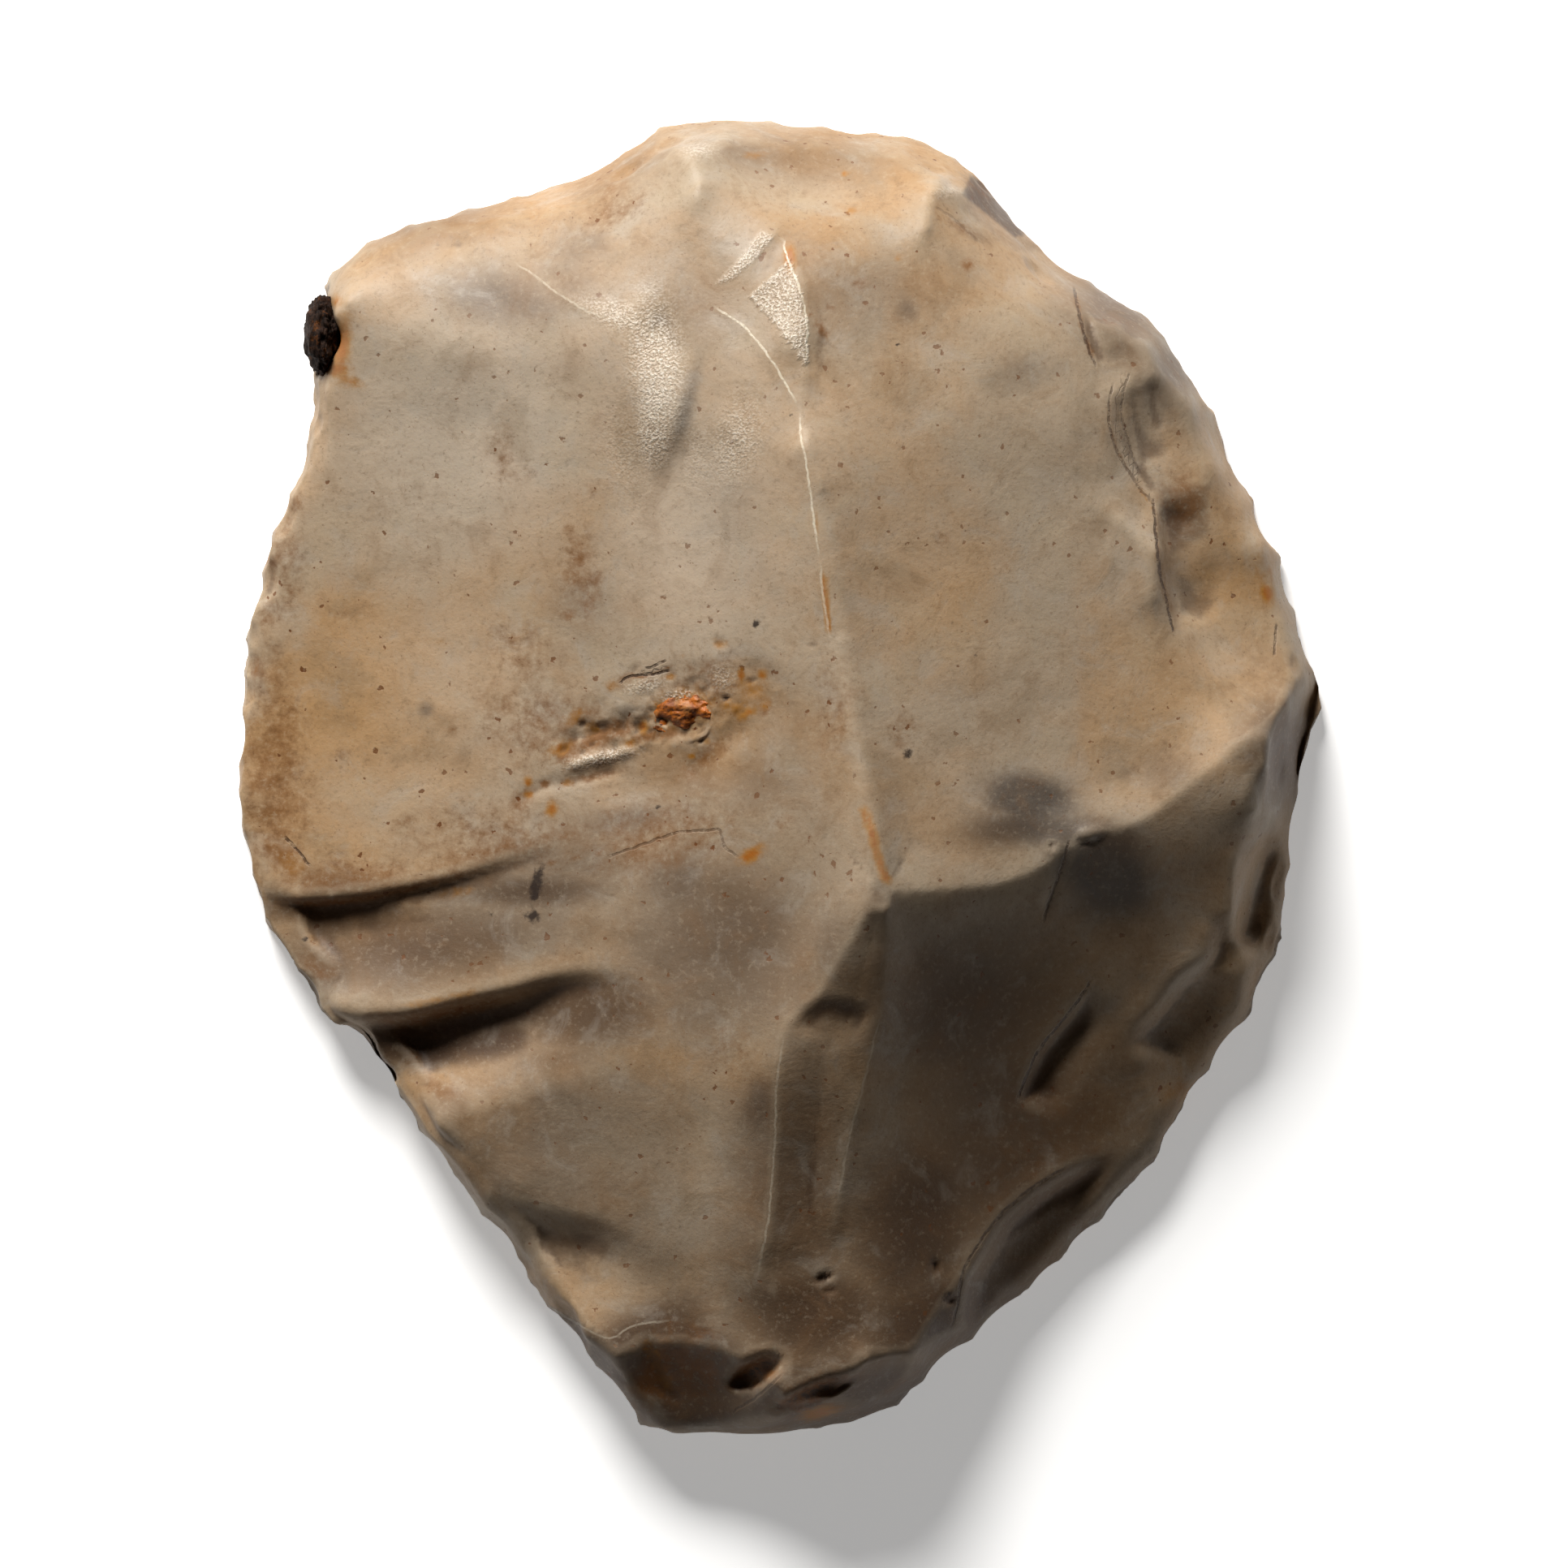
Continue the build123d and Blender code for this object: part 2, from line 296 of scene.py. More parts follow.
# Scars of the right margin, from the top down.
crease([(13.9, 23.1), (14.1, 21.9), (14.5, 20.3), (15.1, 19.1)], 0.20, 0.20)
hinge([(15.2, 19.1), (14.5, 20.3), (14.1, 21.9), (13.8, 23.2)], -0.12, 0.5, 1.4)
hinge([(17.6, 12.7), (16.8, 13.8), (15.9, 15.3), (15.5, 16.9), (15.7, 18.6)], 0.12, 0.3, 0.6, 0.03)
hinge([(17.0, 14.1), (16.3, 16.2), (16.1, 17.7), (16.5, 19.1)], 0.14, 0.3, 1.6, 0.04)
crease([(17.7, 16.0), (17.3, 17.1), (17.2, 18.5)], 0.08, 0.25)
hinge([(18.6, 6.6), (18.2, 8.3), (17.9, 9.6), (17.7, 11.5), (17.6, 13.2)], 0.50, 0.45, 2.2, 0.05)
scoop((19.4, 10.2), 1.5, 3.4, 8, 0.26, 0.5)
hinge([(23.6, -0.3), (23.6, 2.0), (24.0, 3.4), (24.8, 5.2)], 1.35, 0.6, 1.2, 0.05, 0.1, 0.15)
hinge([(21.5, -1.6), (21.7, -0.8), (22.2, 0.3), (23.4, 1.3)], 0.55, 0.8, 1.6)
hinge([(20.9, -7.9), (21.0, -6.9), (21.3, -5.3), (21.8, -3.6), (22.6, -1.9)], 1.25, 0.7, 1.4, 0.08, 0.1, 0.2)
hinge([(16.1, -12.9), (16.6, -11.8), (17.4, -10.8), (18.7, -9.2), (19.9, -8.1), (20.0, -6.1)], 0.55, 0.7, 2.6, 0.06)
hinge([(11.1, -15.4), (12.1, -13.0), (13.6, -11.1), (14.7, -9.5)], 0.62, 0.35, 2.4, 0.06, 0.2, 0.35)
hinge([(8.0, -26.0), (8.3, -25.2), (8.7, -23.2), (9.7, -21.5), (10.6, -20.4), (12.1, -19.2), (13.6, -18.3), (15.9, -17.0)],
      1.0, 0.8, 3.0, 0.08, 0.1, 0.3)
crease([(20.2, -12.7), (21.2, -11.7), (22.4, -9.9)], 0.12, 0.25)

# The bruised lip at the edge of the dark stain, and the small ring beside it.
crease([(13.6, -2.9), (13.3, -4.1), (12.7, -5.7), (12.4, -6.8)], 0.10, 0.20)
scoop((14.6, -2.6), 0.75, 0.36, 8, -0.16)
crease([(13.8, -2.6), (14.5, -3.1), (15.5, -2.6)], 0.10, 0.12)
scoop((12.8, -3.2), 0.42, 0.42, 0, -0.10)
scoop((12.8, -3.2), 0.16, 0.16, 0, 0.18)

# The butt end: one broad scar at the left, two deep bruises, and a slit.
scoop((-1.1, -27.9), 1.25, 0.55, 28, 0.95)
scoop((1.6, -28.9), 1.95, 0.42, 22, 0.85)
crease([(-2.1, -29.8), (-1.1, -29.2), (0.1, -28.1)], -0.12, 0.18)
crease([(-6.5, -26.1), (-5.7, -27.6), (-4.6, -29.8)], 0.16, 0.35)
hinge([(5.5, -29.2), (5.8, -28.3), (6.9, -27.8)], 0.4, 0.5, 1.2)
scoop((2.1, -23.5), 0.42, 0.16, 15, 0.22)
scoop((2.3, -24.1), 0.38, 0.13, 20, 0.16)
scoop((7.3, -22.9), 0.18, 0.30, 0, 0.22)
scoop((7.9, -24.3), 0.32, 0.18, 20, 0.22)

# Arrises that stand a little proud, and the thin line round the top of the left face.
NO_FADE = 1e-6
lift = np.zeros(count)
raised_arris(lift, [(0.2, 25.2), (1.0, 23.4), (1.3, 21.3), (1.3, 19.4), (1.1, 17.1), (1.5, 13.7), (1.8, 10.6), (2.3, 6.4)],
             (0.16, 0.12), 0.7, 1.4, 0.05, NO_FADE)
raised_arris(lift, [(2.3, 6.4), (3.1, 3.7), (3.8, 1.1), (4.5, -2.0), (5.0, -5.3)], (0.12, 0.42), 1.6, 1.8, NO_FADE, NO_FADE)
raised_arris(lift, [(5.0, -5.3), (4.0, -6.5), (3.0, -8.2), (1.9, -10.1), (0.3, -11.8), (-0.1, -14.2), (-0.2, -16.9), (-0.5, -20.7),
                    (-1.1, -23.7), (-1.5, -25.0)], (0.42, 0.55), 3.4, 3.2, NO_FADE, 0.2)
raised_arris(lift, [(5.0, -5.3), (5.0, -8.5), (4.8, -11.0), (3.9, -14.6), (3.3, -16.9), (2.7, -20.3), (2.2, -23.0)],
             (0.42, 0.30), 2.2, 3.6, NO_FADE, 0.2)
raised_arris(lift, [(5.0, -5.3), (6.1, -5.3), (8.3, -5.2), (10.6, -4.9), (12.6, -4.0), (14.5, -2.7), (16.3, -2.3), (18.1, -1.3),
                    (20.4, 0.6), (21.9, 1.9), (24.4, 4.0)], (0.42, 0.58), 2.4, 4.5, NO_FADE, 0.05)
raised_arris(lift, [(-20.2, 23.8), (-18.0, 24.2), (-14.7, 24.2), (-12.6, 25.1), (-10.6, 26.7), (-8.7, 28.0), (-5.5, 29.3), (-3.6, 29.7)], (0.16, 0.22),
             1.8, 2.4, 0.15, 0.15)
raised_arris(lift, [(1.9, 27.7), (3.8, 27.5), (6.4, 27.0), (7.6, 27.5), (8.5, 28.0), (9.2, 28.4)], (0.16, 0.30), 1.0, 1.8, 0.3, 0.1)
raised_arris(lift, [(-4.2, 29.7), (-1.7, 27.2), (0.2, 25.2)], (0.12, 0.12), 1.6, 1.6, 0.2, 0.1)
raised_arris(lift, [(-1.3, 22.6), (-0.2, 23.7), (0.5, 24.5)], (0.10, 0.10), 0.5, 1.0, 0.2, 0.2)
at[:, 2] += lift * dorsal

# Left of the fork the stone falls away faster, and turns from the light.
fall_away = smooth((-1.5 - at[:, 1]) / 12.0) * (1 - 0.4 * smooth((-16.0 - at[:, 1]) / 12.0))
at[:, 2] -= 0.30 * fall_away * np.exp(-((at[:, 0] + 4.0) / 8.5) ** 4) * dorsal
crease([(-12.6, 24.3), (-10.6, 22.9), (-9.2, 22.0), (-7.6, 21.5)], -0.06, 0.15)
crease([(-3.2, 22.2), (-1.8, 21.3), (-0.3, 19.5), (0.4, 18.3), (1.0, 17.3)], -0.07, 0.15, 0.2, 0.05)

# The pocket of the solid model is filled nearly level, so that the deposit shows only where it stands out.
from_pocket = np.hypot(at[:, 0] + 4.1, at[:, 1] - 2.83)
pocket = (from_pocket < 2.1) & (at[:, 2] > 5)
around = (from_pocket > 2.1) & (from_pocket < 3.1) & (dorsal > 0.5)


def terms(places):
    x, y = places[:, 0] + 4.1, places[:, 1] - 2.83
    return np.stack([np.ones(len(x)), x, y, x * x, x * y, y * y], axis=1)


level = np.linalg.lstsq(terms(at[around]), at[around, 2], rcond=None)[0]
at[pocket, 2] = terms(at[pocket]) @ level
for turn in range(25):
    at[pocket] += 0.5 * (neighbours_mean(at, edges, count) - at)[pocket]

# Folds and pits round the rusty hollow in the middle.
crease([(-10.3, 1.1), (-9.4, 1.9), (-8.2, 2.3), (-6.6, 2.5), (-5.5, 2.7)], 0.17, 0.42, 0.2, 0.25)
crease([(-10.2, 0.4), (-9.0, 0.8), (-7.6, 1.1), (-6.5, 1.4)], -0.13, 0.28)
crease([(-12.7, -1.5), (-11.3, -0.5), (-9.5, -0.1), (-8.3, 0.2), (-6.9, 0.5)], 0.10, 0.32)
crease([(-4.7, 0.1), (-3.4, 0.9), (-2.3, 1.9), (-1.1, 2.7)], 0.16, 0.75)
crease([(-7.4, 4.5), (-6.6, 4.8), (-5.6, 4.9), (-4.8, 5.1)], 0.03, 0.2)
crease([(-6.1, 2.0), (-4.8, 2.1), (-3.4, 2.5)], 0.10, 0.35)
scoop((-5.4, 2.6), 0.22, 0.15, 15, 0.22)
scoop((-2.5, 3.7), 0.18, 0.12, 10, 0.12)
scoop((-2.8, 6.3), 0.36, 0.26, -20, 0.07, 0.6)
scoop((-3.7, 4.3), 0.60, 0.42, 0, 0.06, 0.6)

pitted = np.exp(-(((at[:, 0] + 5.2) * 0.95 + (at[:, 1] - 2.9) * 0.31) / 4.6) ** 2
                - (((at[:, 1] - 2.9) * 0.95 - (at[:, 0] + 5.2) * 0.31) / 1.7) ** 2) * dorsal
for index in np.flatnonzero(pitted > 0.02):
    rough = noise.fractal(Vector(at[index]) / 0.75, 0.9, 2.1, 4)
    at[index, 2] += 0.11 * rough * pitted[index]
pit_chance = random.Random(11)
for turn in range(60):
    x = pit_chance.gauss(-5.2, 2.6)
    y = 2.9 + 0.33 * (x + 5.2) + pit_chance.gauss(0, 0.8)
    wide = pit_chance.uniform(0.08, 0.20)
    scoop((x, y), wide * 1.6, wide, pit_chance.uniform(0, 50), pit_chance.uniform(-0.05, 0.09), 0.5)

# Small old chips along the worked edge.
middle = at[:, :2].mean(0)
angle = np.degrees(np.arctan2(at[:, 1] - middle[1], at[:, 0] - middle[0])) % 360
radius = np.hypot(at[:, 0] - middle[0], at[:, 1] - middle[1])
sector = (angle / 1.5).astype(int)
rim_radius = np.zeros(240)
np.maximum.at(rim_radius, sector, radius)
on_rim = radius > rim_radius[sector] - 0.9
rim_height = np.zeros(240)
np.maximum.at(rim_height, sector[on_rim], at[on_rim, 2])


def bite(centre, ball):
    """Knocks a hollow out of the flake with a ball that reaches into it."""
    gap = at - centre
    reach = np.linalg.norm(gap, axis=1)
    inside = (reach < ball) & (reach > 0.01)
    pushed = centre + gap[inside] * (ball / reach[inside])[:, None]
    pushed[:, 2] = np.maximum(pushed[:, 2], np.minimum(at[inside, 2], 0.4))
    at[inside] = pushed


SECTORS = np.arange(240) * 1.5 + 0.75
from_edge = np.interp(angle, SECTORS, rim_radius, period=360) - radius
rim_worn = (1 - smooth((from_edge - 0.3) / 1.6)) * smooth((at[:, 2] - 0.8) / 1.0)
rim_worn *= 1 - 0.8 * np.exp(-((angle - 222) / 22) ** 4)
for turn in range(26):
    at += 0.5 * rim_worn[:, None] * (neighbours_mean(at, edges, count) - at)

# On the left and the lower left the face runs on flat to a thin edge.
face_height, face_slope = np.zeros(240), np.zeros(240)
for index in range(240):
    nearby = (np.abs((sector - index + 120) % 240 - 120) <= 3) & (dorsal > 0.3)
    outer = at[nearby & (from_edge > 1.6) & (from_edge < 2.4), 2]
    inner = at[nearby & (from_edge > 3.0) & (from_edge < 3.8), 2]
    if len(outer) and len(inner):
        face_height[index] = outer.mean()
        face_slope[index] = np.clip((outer.mean() - inner.mean()) / 1.4, -0.40, 0.10)
        if 200 < index * 1.5 < 215:
            face_slope[index] = max(face_slope[index], -0.2)
window = np.ones(9) / 9
face_height = np.convolve(np.concatenate([face_height[-4:], face_height, face_height[:4]]), window, "valid")
face_slope = np.convolve(np.concatenate([face_slope[-4:], face_slope, face_slope[:4]]), window, "valid")
running_on = (np.interp(angle, SECTORS, face_height, period=360)
              + np.interp(angle, SECTORS, face_slope, period=360) * (2.0 - from_edge))
flat_edge = 0.9 * np.exp(-((angle - 192) / 64) ** 6) * smooth((facing + 0.05) / 0.2) * (at[:, 2] > 0.8)
flat_edge *= 1 - smooth((from_edge - 1.5) / 0.7)
at[:, 2] += flat_edge * np.clip(running_on - at[:, 2], 0, 1.6)

chip_chance = random.Random(5)
for turn in range(150):
    toward = chip_chance.uniform(0, 360)
    index = int(toward / 1.5) % 240
    ball = chip_chance.uniform(0.7, 2.2)
    sink = chip_chance.uniform(0.12, 0.38)
    if 195 < toward < 300:
        sink *= 0.4
    out = rim_radius[index] + ball * 0.55 - sink
    height = rim_height[index] + ball * 0.70 - sink
    c, s = math.cos(math.radians(toward)), math.sin(math.radians(toward))
    bite(np.array([middle[0] + out * c, middle[1] + out * s, height]), ball)

# Trimming scars: hollow flutes down the steep side, that meet in sharp upright arrises.
toward = 0.0
while toward < 360:
    index = int(toward / 1.5) % 240
    ball = chip_chance.uniform(1.8, 4.2)
    sink = chip_chance.uniform(0.18, 0.44)
    out = rim_radius[index] + ball - sink
    c, s = math.cos(math.radians(toward)), math.sin(math.radians(toward))
    for height in (chip_chance.uniform(0.4, 1.2), chip_chance.uniform(1.2, max(1.5, rim_height[index]))):
        bite(np.array([middle[0] + out * c, middle[1] + out * s, height]), ball)
    toward += chip_chance.uniform(2.2, 5.5)
for turn in range(260):
    toward = chip_chance.uniform(0, 360)
    index = int(toward / 1.5) % 240
    ball = chip_chance.uniform(0.4, 0.9)
    sink = chip_chance.uniform(0.05, 0.16) * (0.6 if 235 < toward < 300 else 1)
    out = rim_radius[index] + ball * 0.75 - sink
    height = rim_height[index] + chip_chance.uniform(-0.5, 0.3)
    c, s = math.cos(math.radians(toward)), math.sin(math.radians(toward))
    bite(np.array([middle[0] + out * c, middle[1] + out * s, height]), ball)

# The worked edge stands out past the smoothed one: everywhere a little, and more or less
# towards these ways round from the right (degrees, half width in degrees, how far).
EDGE_OUT = 0.25
out = np.full(count, EDGE_OUT)
for toward, wide, far in ((40, 15, 0.35), (75, 12, 0.35), (115, 22, 0.65), (220, 14, -0.35), (250, 6, 0.20),
                          (272, 14, -0.12), (290, 5, 0.30), (345, 20, 0.12)):
    out += far * np.exp(-(((angle - toward + 180) % 360 - 180) / wide) ** 2)
out *= 1 - smooth((from_edge - 0.5) / 5.0)
at[:, 0] += out * np.cos(np.radians(angle))
at[:, 1] += out * np.sin(np.radians(angle))

# The small glittering facet leans back towards the top of the flake.
band = np.exp(-(((at[:, 0] + 5.5) / 1.3) ** 2 + ((at[:, 1] - 18.6) / 3.4) ** 2) ** 2) * dorsal
at[:, 2] -= 0.13 * (at[:, 1] - 18.6) * band
facet = [(-1.4, 22.6), (-0.2, 23.7), (0.5, 24.4), (1.1, 22.4), (1.3, 19.2)]
facet_x, facet_y = np.mean(facet, 0)
over = np.exp(-(((at[:, 0] - facet_x) / 1.5) ** 2 + ((at[:, 1] - facet_y) / 2.6) ** 2) ** 2) * dorsal
at[:, 2] -= 0.13 * (at[:, 1] - facet_y) * over
swell(at, 0.16, 7.0, 1)
swell(at, 0.035, 1.6, 2)

# The smooth underside: faint rings that spread from the blow, and a few lances near it.
blow = np.array([-0.4, -27.5])
under = np.flatnonzero(ventral > 0)
gap = at[under, :2] - blow
ring = np.hypot(gap[:, 0], gap[:, 1])
ripple = 0.10 * (0.5 + 0.5 * np.sin(ring * 2 * math.pi / (2.2 + 0.05 * ring))) * smooth((ring - 4) / 8) * np.exp(-ring / 45)
at[under, 2] += ripple * ventral[under] * smooth(at[under, 2] / 0.3)

for turn in range(1):
    at += 0.25 * (neighbours_mean(at, edges, count) - at)
box_low, box_high = np.array(cad_box[0]) / MM, np.array(cad_box[1]) / MM
at = np.clip(at, box_low, box_high)
stone.data.vertices.foreach_set("co", (at * MM).ravel())
stone.data.update()
stone.data.polygons.foreach_set("use_smooth", [True] * len(stone.data.polygons))

# How hollow or proud each point is, over a short and a longer reach.
stone.data.vertices.foreach_get("normal", normals)
normal = normals.reshape(-1, 3)
near_mean = at
for turn in range(3):
    near_mean = neighbours_mean(near_mean, edges, count)
proud = ((at - near_mean) * normal).sum(1)
for turn in range(12):
    near_mean = neighbours_mean(near_mean, edges, count)
proud_wide = ((at - near_mean) * normal).sum(1)

stains = {}


def stain(name, amount):
    stains[name] = np.maximum(stains.get(name, np.zeros(count)), amount)


def spot(name, place, half_long, half_wide=None, turn=0.0, strength=1.0):
    half_wide = half_wide or half_long
    c, s = math.cos(math.radians(turn)), math.sin(math.radians(turn))
    x, y = at[:, 0] - place[0], at[:, 1] - place[1]
    out = ((x * c + y * s) / half_long) ** 2 + ((y * c - x * s) / half_wide) ** 2
    stain(name, strength * np.exp(-out) * (facing > -0.2))


def streak(name, path, width, strength=1.0, fade=0.2):
    near, across, share = beside(path, width * 3)
    amount = np.zeros(count)
    amount[near] = strength * np.exp(-(across / width) ** 2) * ends_fade(share, fade, fade)
    stain(name, amount)


def patch(name, corners, strength=1.0, edge=0.10):
    """A clear-edged area inside the corners."""
    ring = [np.array(corner) for corner in corners]
    inside = np.zeros(count, dtype=bool)
    gap = np.full(count, 1e9)
    for a, b in zip(ring, ring[1:] + ring[:1]):
        crosses = (a[1] > at[:, 1]) != (b[1] > at[:, 1])
        level = a[0] + (at[:, 1] - a[1]) / (b[1] - a[1] + 1e-9) * (b[0] - a[0])
        inside ^= crosses & (at[:, 0] < level)
        along = b - a
        t = np.clip(((at[:, :2] - a) @ along) / (along @ along), 0, 1)
        gap = np.minimum(gap, np.hypot(*(at[:, :2] - a - t[:, None] * along).T))
    amount = strength * smooth(np.where(inside, 0.5 + gap / edge, 0.5 - gap / edge))
    stain(name, amount * (facing > -0.2))


def fine_lines(name, paths, fade=0.15):
    """Hair-thin lines: the signed distance to the nearest one, and how strong it is there."""
    distance = np.ones(count)
    amount = np.zeros(count)
    for path, strength in paths:
        near, across, share = beside(path, 0.7)
        closer = np.abs(across) < np.abs(distance[near])
        distance[near[closer]] = across[closer]
        amount[near[closer]] = (strength * ends_fade(share, fade, fade) * (1 - smooth(np.abs(across) / 0.5)))[closer]
    stains[name + "_gap"] = distance
    stains[name] = amount


# Warm and cool areas of the skin.
for place, long, wide, turn, strength in (
    ((-21.4, 2.2), 6.5, 9.0, 0, 0.9), ((-20.6, 12.1), 3.5, 6.0, 0, 0.55), ((-16.8, 25.5), 6.0, 1.3, 8, 1.0),
    ((-12.2, 26.5), 4.0, 1.6, 15, 0.9), ((-7.6, 28.9), 3.0, 1.6, 30, 0.8), ((4.6, 29.7), 6.5, 2.2, -8, 1.0),
    ((5.0, 25.5), 6.0, 2.6, -10, 0.75), ((-13.7, 6.8), 7.5, 7.0, 0, 0.35), ((-9.9, 13.7), 4.5, 4.5, 0, 0.35),
    ((-3.1, 2.2), 5.5, 3.0, 20, 0.7), ((21.4, 9.9), 2.6, 5.0, 10, 0.8), ((-2.3, -3.9), 5.0, 3.0, 0, 0.5),
    ((-18.3, -7.7), 6.0, 1.6, 5, 0.6), ((-16.8, -13.8), 3.0, 2.2, -30, 0.8), ((-9.2, -24.1), 3.5, 1.8, 0, 0.6),
    ((8.4, 7.6), 3.0, 3.0, 0, 0.45), ((10.3, 20.5), 4.5, 3.0, 0, 0.3), ((-4.2, -13.8), 4.5, 4.5, 0, 0.45),
    ((14.9, -16.5), 2.6, 1.6, 20, 0.7), ((18.9, -14.9), 1.6, 1.3, 30, 0.9), ((17.6, 3.0), 5.0, 3.5, 20, 0.35),
):
    spot("warm", place, long, wide, turn, strength)

# Grey stains in the stone, and grey painted shade on the flank below the top-left ridge, which faces the lamp and
# would render too bright.
for place, long, wide, turn, strength in (
    ((-6.1, 24.4), 4.5, 3.0, -20, 0.28), ((-9.4, 24.7), 2.6, 2.2, 20, 0.40), ((-8.6, 25.1), 1.1, 1.1, 0, 0.5), ((-11.5, 23.2), 2.4, 1.6, 20, 0.3),
    ((-4.4, 17.3), 2.9, 0.55, 74, 0.62), ((11.8, -1.0), 2.6, 1.35, -12, 1.0), ((10.3, -1.0), 1.1, 1.1, 0, 0.7),
    ((15.5, -4.7), 2.8, 2.2, -30, 1.0), ((14.1, -3.9), 2.0, 1.6, 0, 0.8), ((6.0, 21.9), 0.75, 0.95, 0, 0.45),
    ((9.2, 25.5), 1.2, 0.4, -28, 0.4), ((-1.9, 29.3), 4.0, 0.8, -6, 0.35), ((-16.0, 18.3), 4.0, 4.0, 0, 0.25), ((-13.0, 22.4), 4.6, 1.8, -10, 0.55), ((-9.9, 23.4), 3.0, 2.0, 0, 0.40),
    ((12.6, -2.4), 4.4, 1.2, -8, 0.75), ((7.3, -1.6), 3.0, 2.4, 0, 0.25),
    ((-16.6, 3.2), 0.5, 0.5, 0, 0.6), ((8.4, -12.7), 4.0, 6.0, 0, 0.35), ((-1.0, -15.3), 0.9, 1.6, -10, 0.6),
    ((-5.0, -4.7), 2.0, 1.6, 0, 0.5), ((-2.3, 12.1), 3.0, 6.0, 10, 0.3), ((11.8, 19.0), 2.6, 1.6, 20, 0.4),
    ((18.7, 18.6), 2.0, 2.4, -20, 0.45), ((1.5, -1.6), 2.0, 4.0, 0, 0.3), ((-7.3, -2.0), 3.6, 1.0, 8, 0.5),
):
    spot("slate_and_painted_shade", place, long, wide, turn, strength)

# Paler skin on the upper left face.
for place, long, wide, turn, strength in (
    ((-14.1, 16.7), 8.0, 6.5, 20, 1.0), ((-4.2, 12.1), 5.0, 7.0, 0, 0.85), ((-5.7, 17.5), 1.6, 4.0, 4, 0.8),
    ((-15.3, 5.3), 5.0, 5.0, 0, 0.4), ((-18.3, -0.1), 5.0, 3.0, 0, 0.35), ((5.7, 9.9), 5.0, 8.0, 0, 0.25),
):
    spot("pale", place, long, wide, turn, strength)

# Iron: bright orange in the hollow, along the main arris and beside the crust.
for place, long, wide, turn, strength in (
    ((-4.6, 3.3), 1.5, 0.85, 12, 0.85), ((-6.4, 2.4), 0.30, 0.36, 0, 1.0), ((-7.0, 1.6), 0.26, 0.22, 0, 0.8),
    ((-1.8, 4.8), 0.22, 0.40, 0, 0.9), ((-0.8, 4.8), 0.30, 0.30, 0, 0.75), ((-1.3, 4.1), 1.0, 0.7, 0, 0.45),
    ((-1.5, 3.0), 0.55, 0.30, 30, 0.75), ((-0.6, 3.4), 0.35, 0.30, 0, 0.55), ((-2.1, 3.3), 0.9, 0.5, 0, 0.5),
    ((-2.8, 6.3), 0.50, 0.30, -20, 0.55), ((-4.1, 1.0), 0.22, 0.18, 0, 0.75), ((-3.4, 1.7), 0.22, 0.18, 0, 0.6),
    ((-5.1, 4.7), 0.30, 0.20, 0, 0.65), ((-4.6, 5.7), 0.25, 0.18, 0, 0.5), ((-10.7, -1.5), 0.36, 0.40, 0, 0.85),
    ((-11.8, -0.2), 0.26, 0.30, 0, 0.9), ((-11.8, -0.8), 0.30, 0.2, 0, 0.8), ((-10.3, 1.4), 0.7, 0.4, 30, 0.7),
    ((-8.8, 2.3), 0.6, 0.35, 35, 0.6), ((-9.6, 2.8), 0.7, 0.5, 20, 0.5), ((-9.9, -0.2), 0.5, 0.25, 10, 0.5),
    ((-1.3, -3.6), 0.75, 0.40, 30, 0.9), ((0.5, 24.4), 0.34, 0.75, 5, 1.0), ((-7.8, 4.3), 0.5, 0.4, 0, 0.4),
    ((-20.6, 20.3), 0.50, 1.6, -8, 1.0), ((-20.8, 19.2), 0.7, 0.4, 0, 1.0), ((-20.2, 18.6), 0.8, 0.35, -20, 0.6),
    ((-20.9, 22.4), 0.5, 0.4, 0, 0.7), ((23.0, 8.7), 0.35, 0.6, 20, 1.0), ((22.8, 9.9), 0.9, 1.6, 0, 0.45),
    ((-16.0, 6.4), 0.9, 0.3, -8, 0.3), ((-22.9, -4.0), 1.0, 0.7, -20, 0.4), ((1.9, -29.9), 1.1, 0.4, 15, 0.8),
    ((18.9, -14.8), 0.9, 0.7, 30, 0.5), ((-21.8, -7.7), 0.8, 0.4, 0, 0.35), ((-15.3, -5.4), 1.2, 0.35, 8, 0.45),
    ((5.6, 24.4), 0.3, 0.3, 0, 0.5), ((3.4, 26.6), 0.25, 0.2, 0, 0.6), ((3.1, 28.4), 0.25, 0.2, 0, 0.7),
    ((-1.1, 29.3), 1.0, 0.3, 10, 0.35),
):
    spot("iron", place, long, wide, turn, strength)
streak("iron", [(2.1, 9.9), (2.2, 8.1), (2.4, 6.4)], 0.16, 0.9)
streak("iron", [(3.7, -1.0), (4.3, -2.4), (4.7, -4.0), (5.3, -5.3)], 0.28, 0.85, 0.15)
streak("iron", [(1.5, 15.2), (1.8, 11.4), (2.1, 9.1)], 0.08, 0.4)
streak("iron", [(16.8, 13.8), (17.2, 13.2), (17.7, 12.4)], 0.14, 0.5)
streak("iron", [(-18.3, -10.9), (-16.0, -10.5), (-13.7, -10.0)], 0.22, 0.55)
streak("iron", [(-6.5, -26.1), (-5.8, -27.4), (-5.0, -29.2)], 0.35, 0.55)

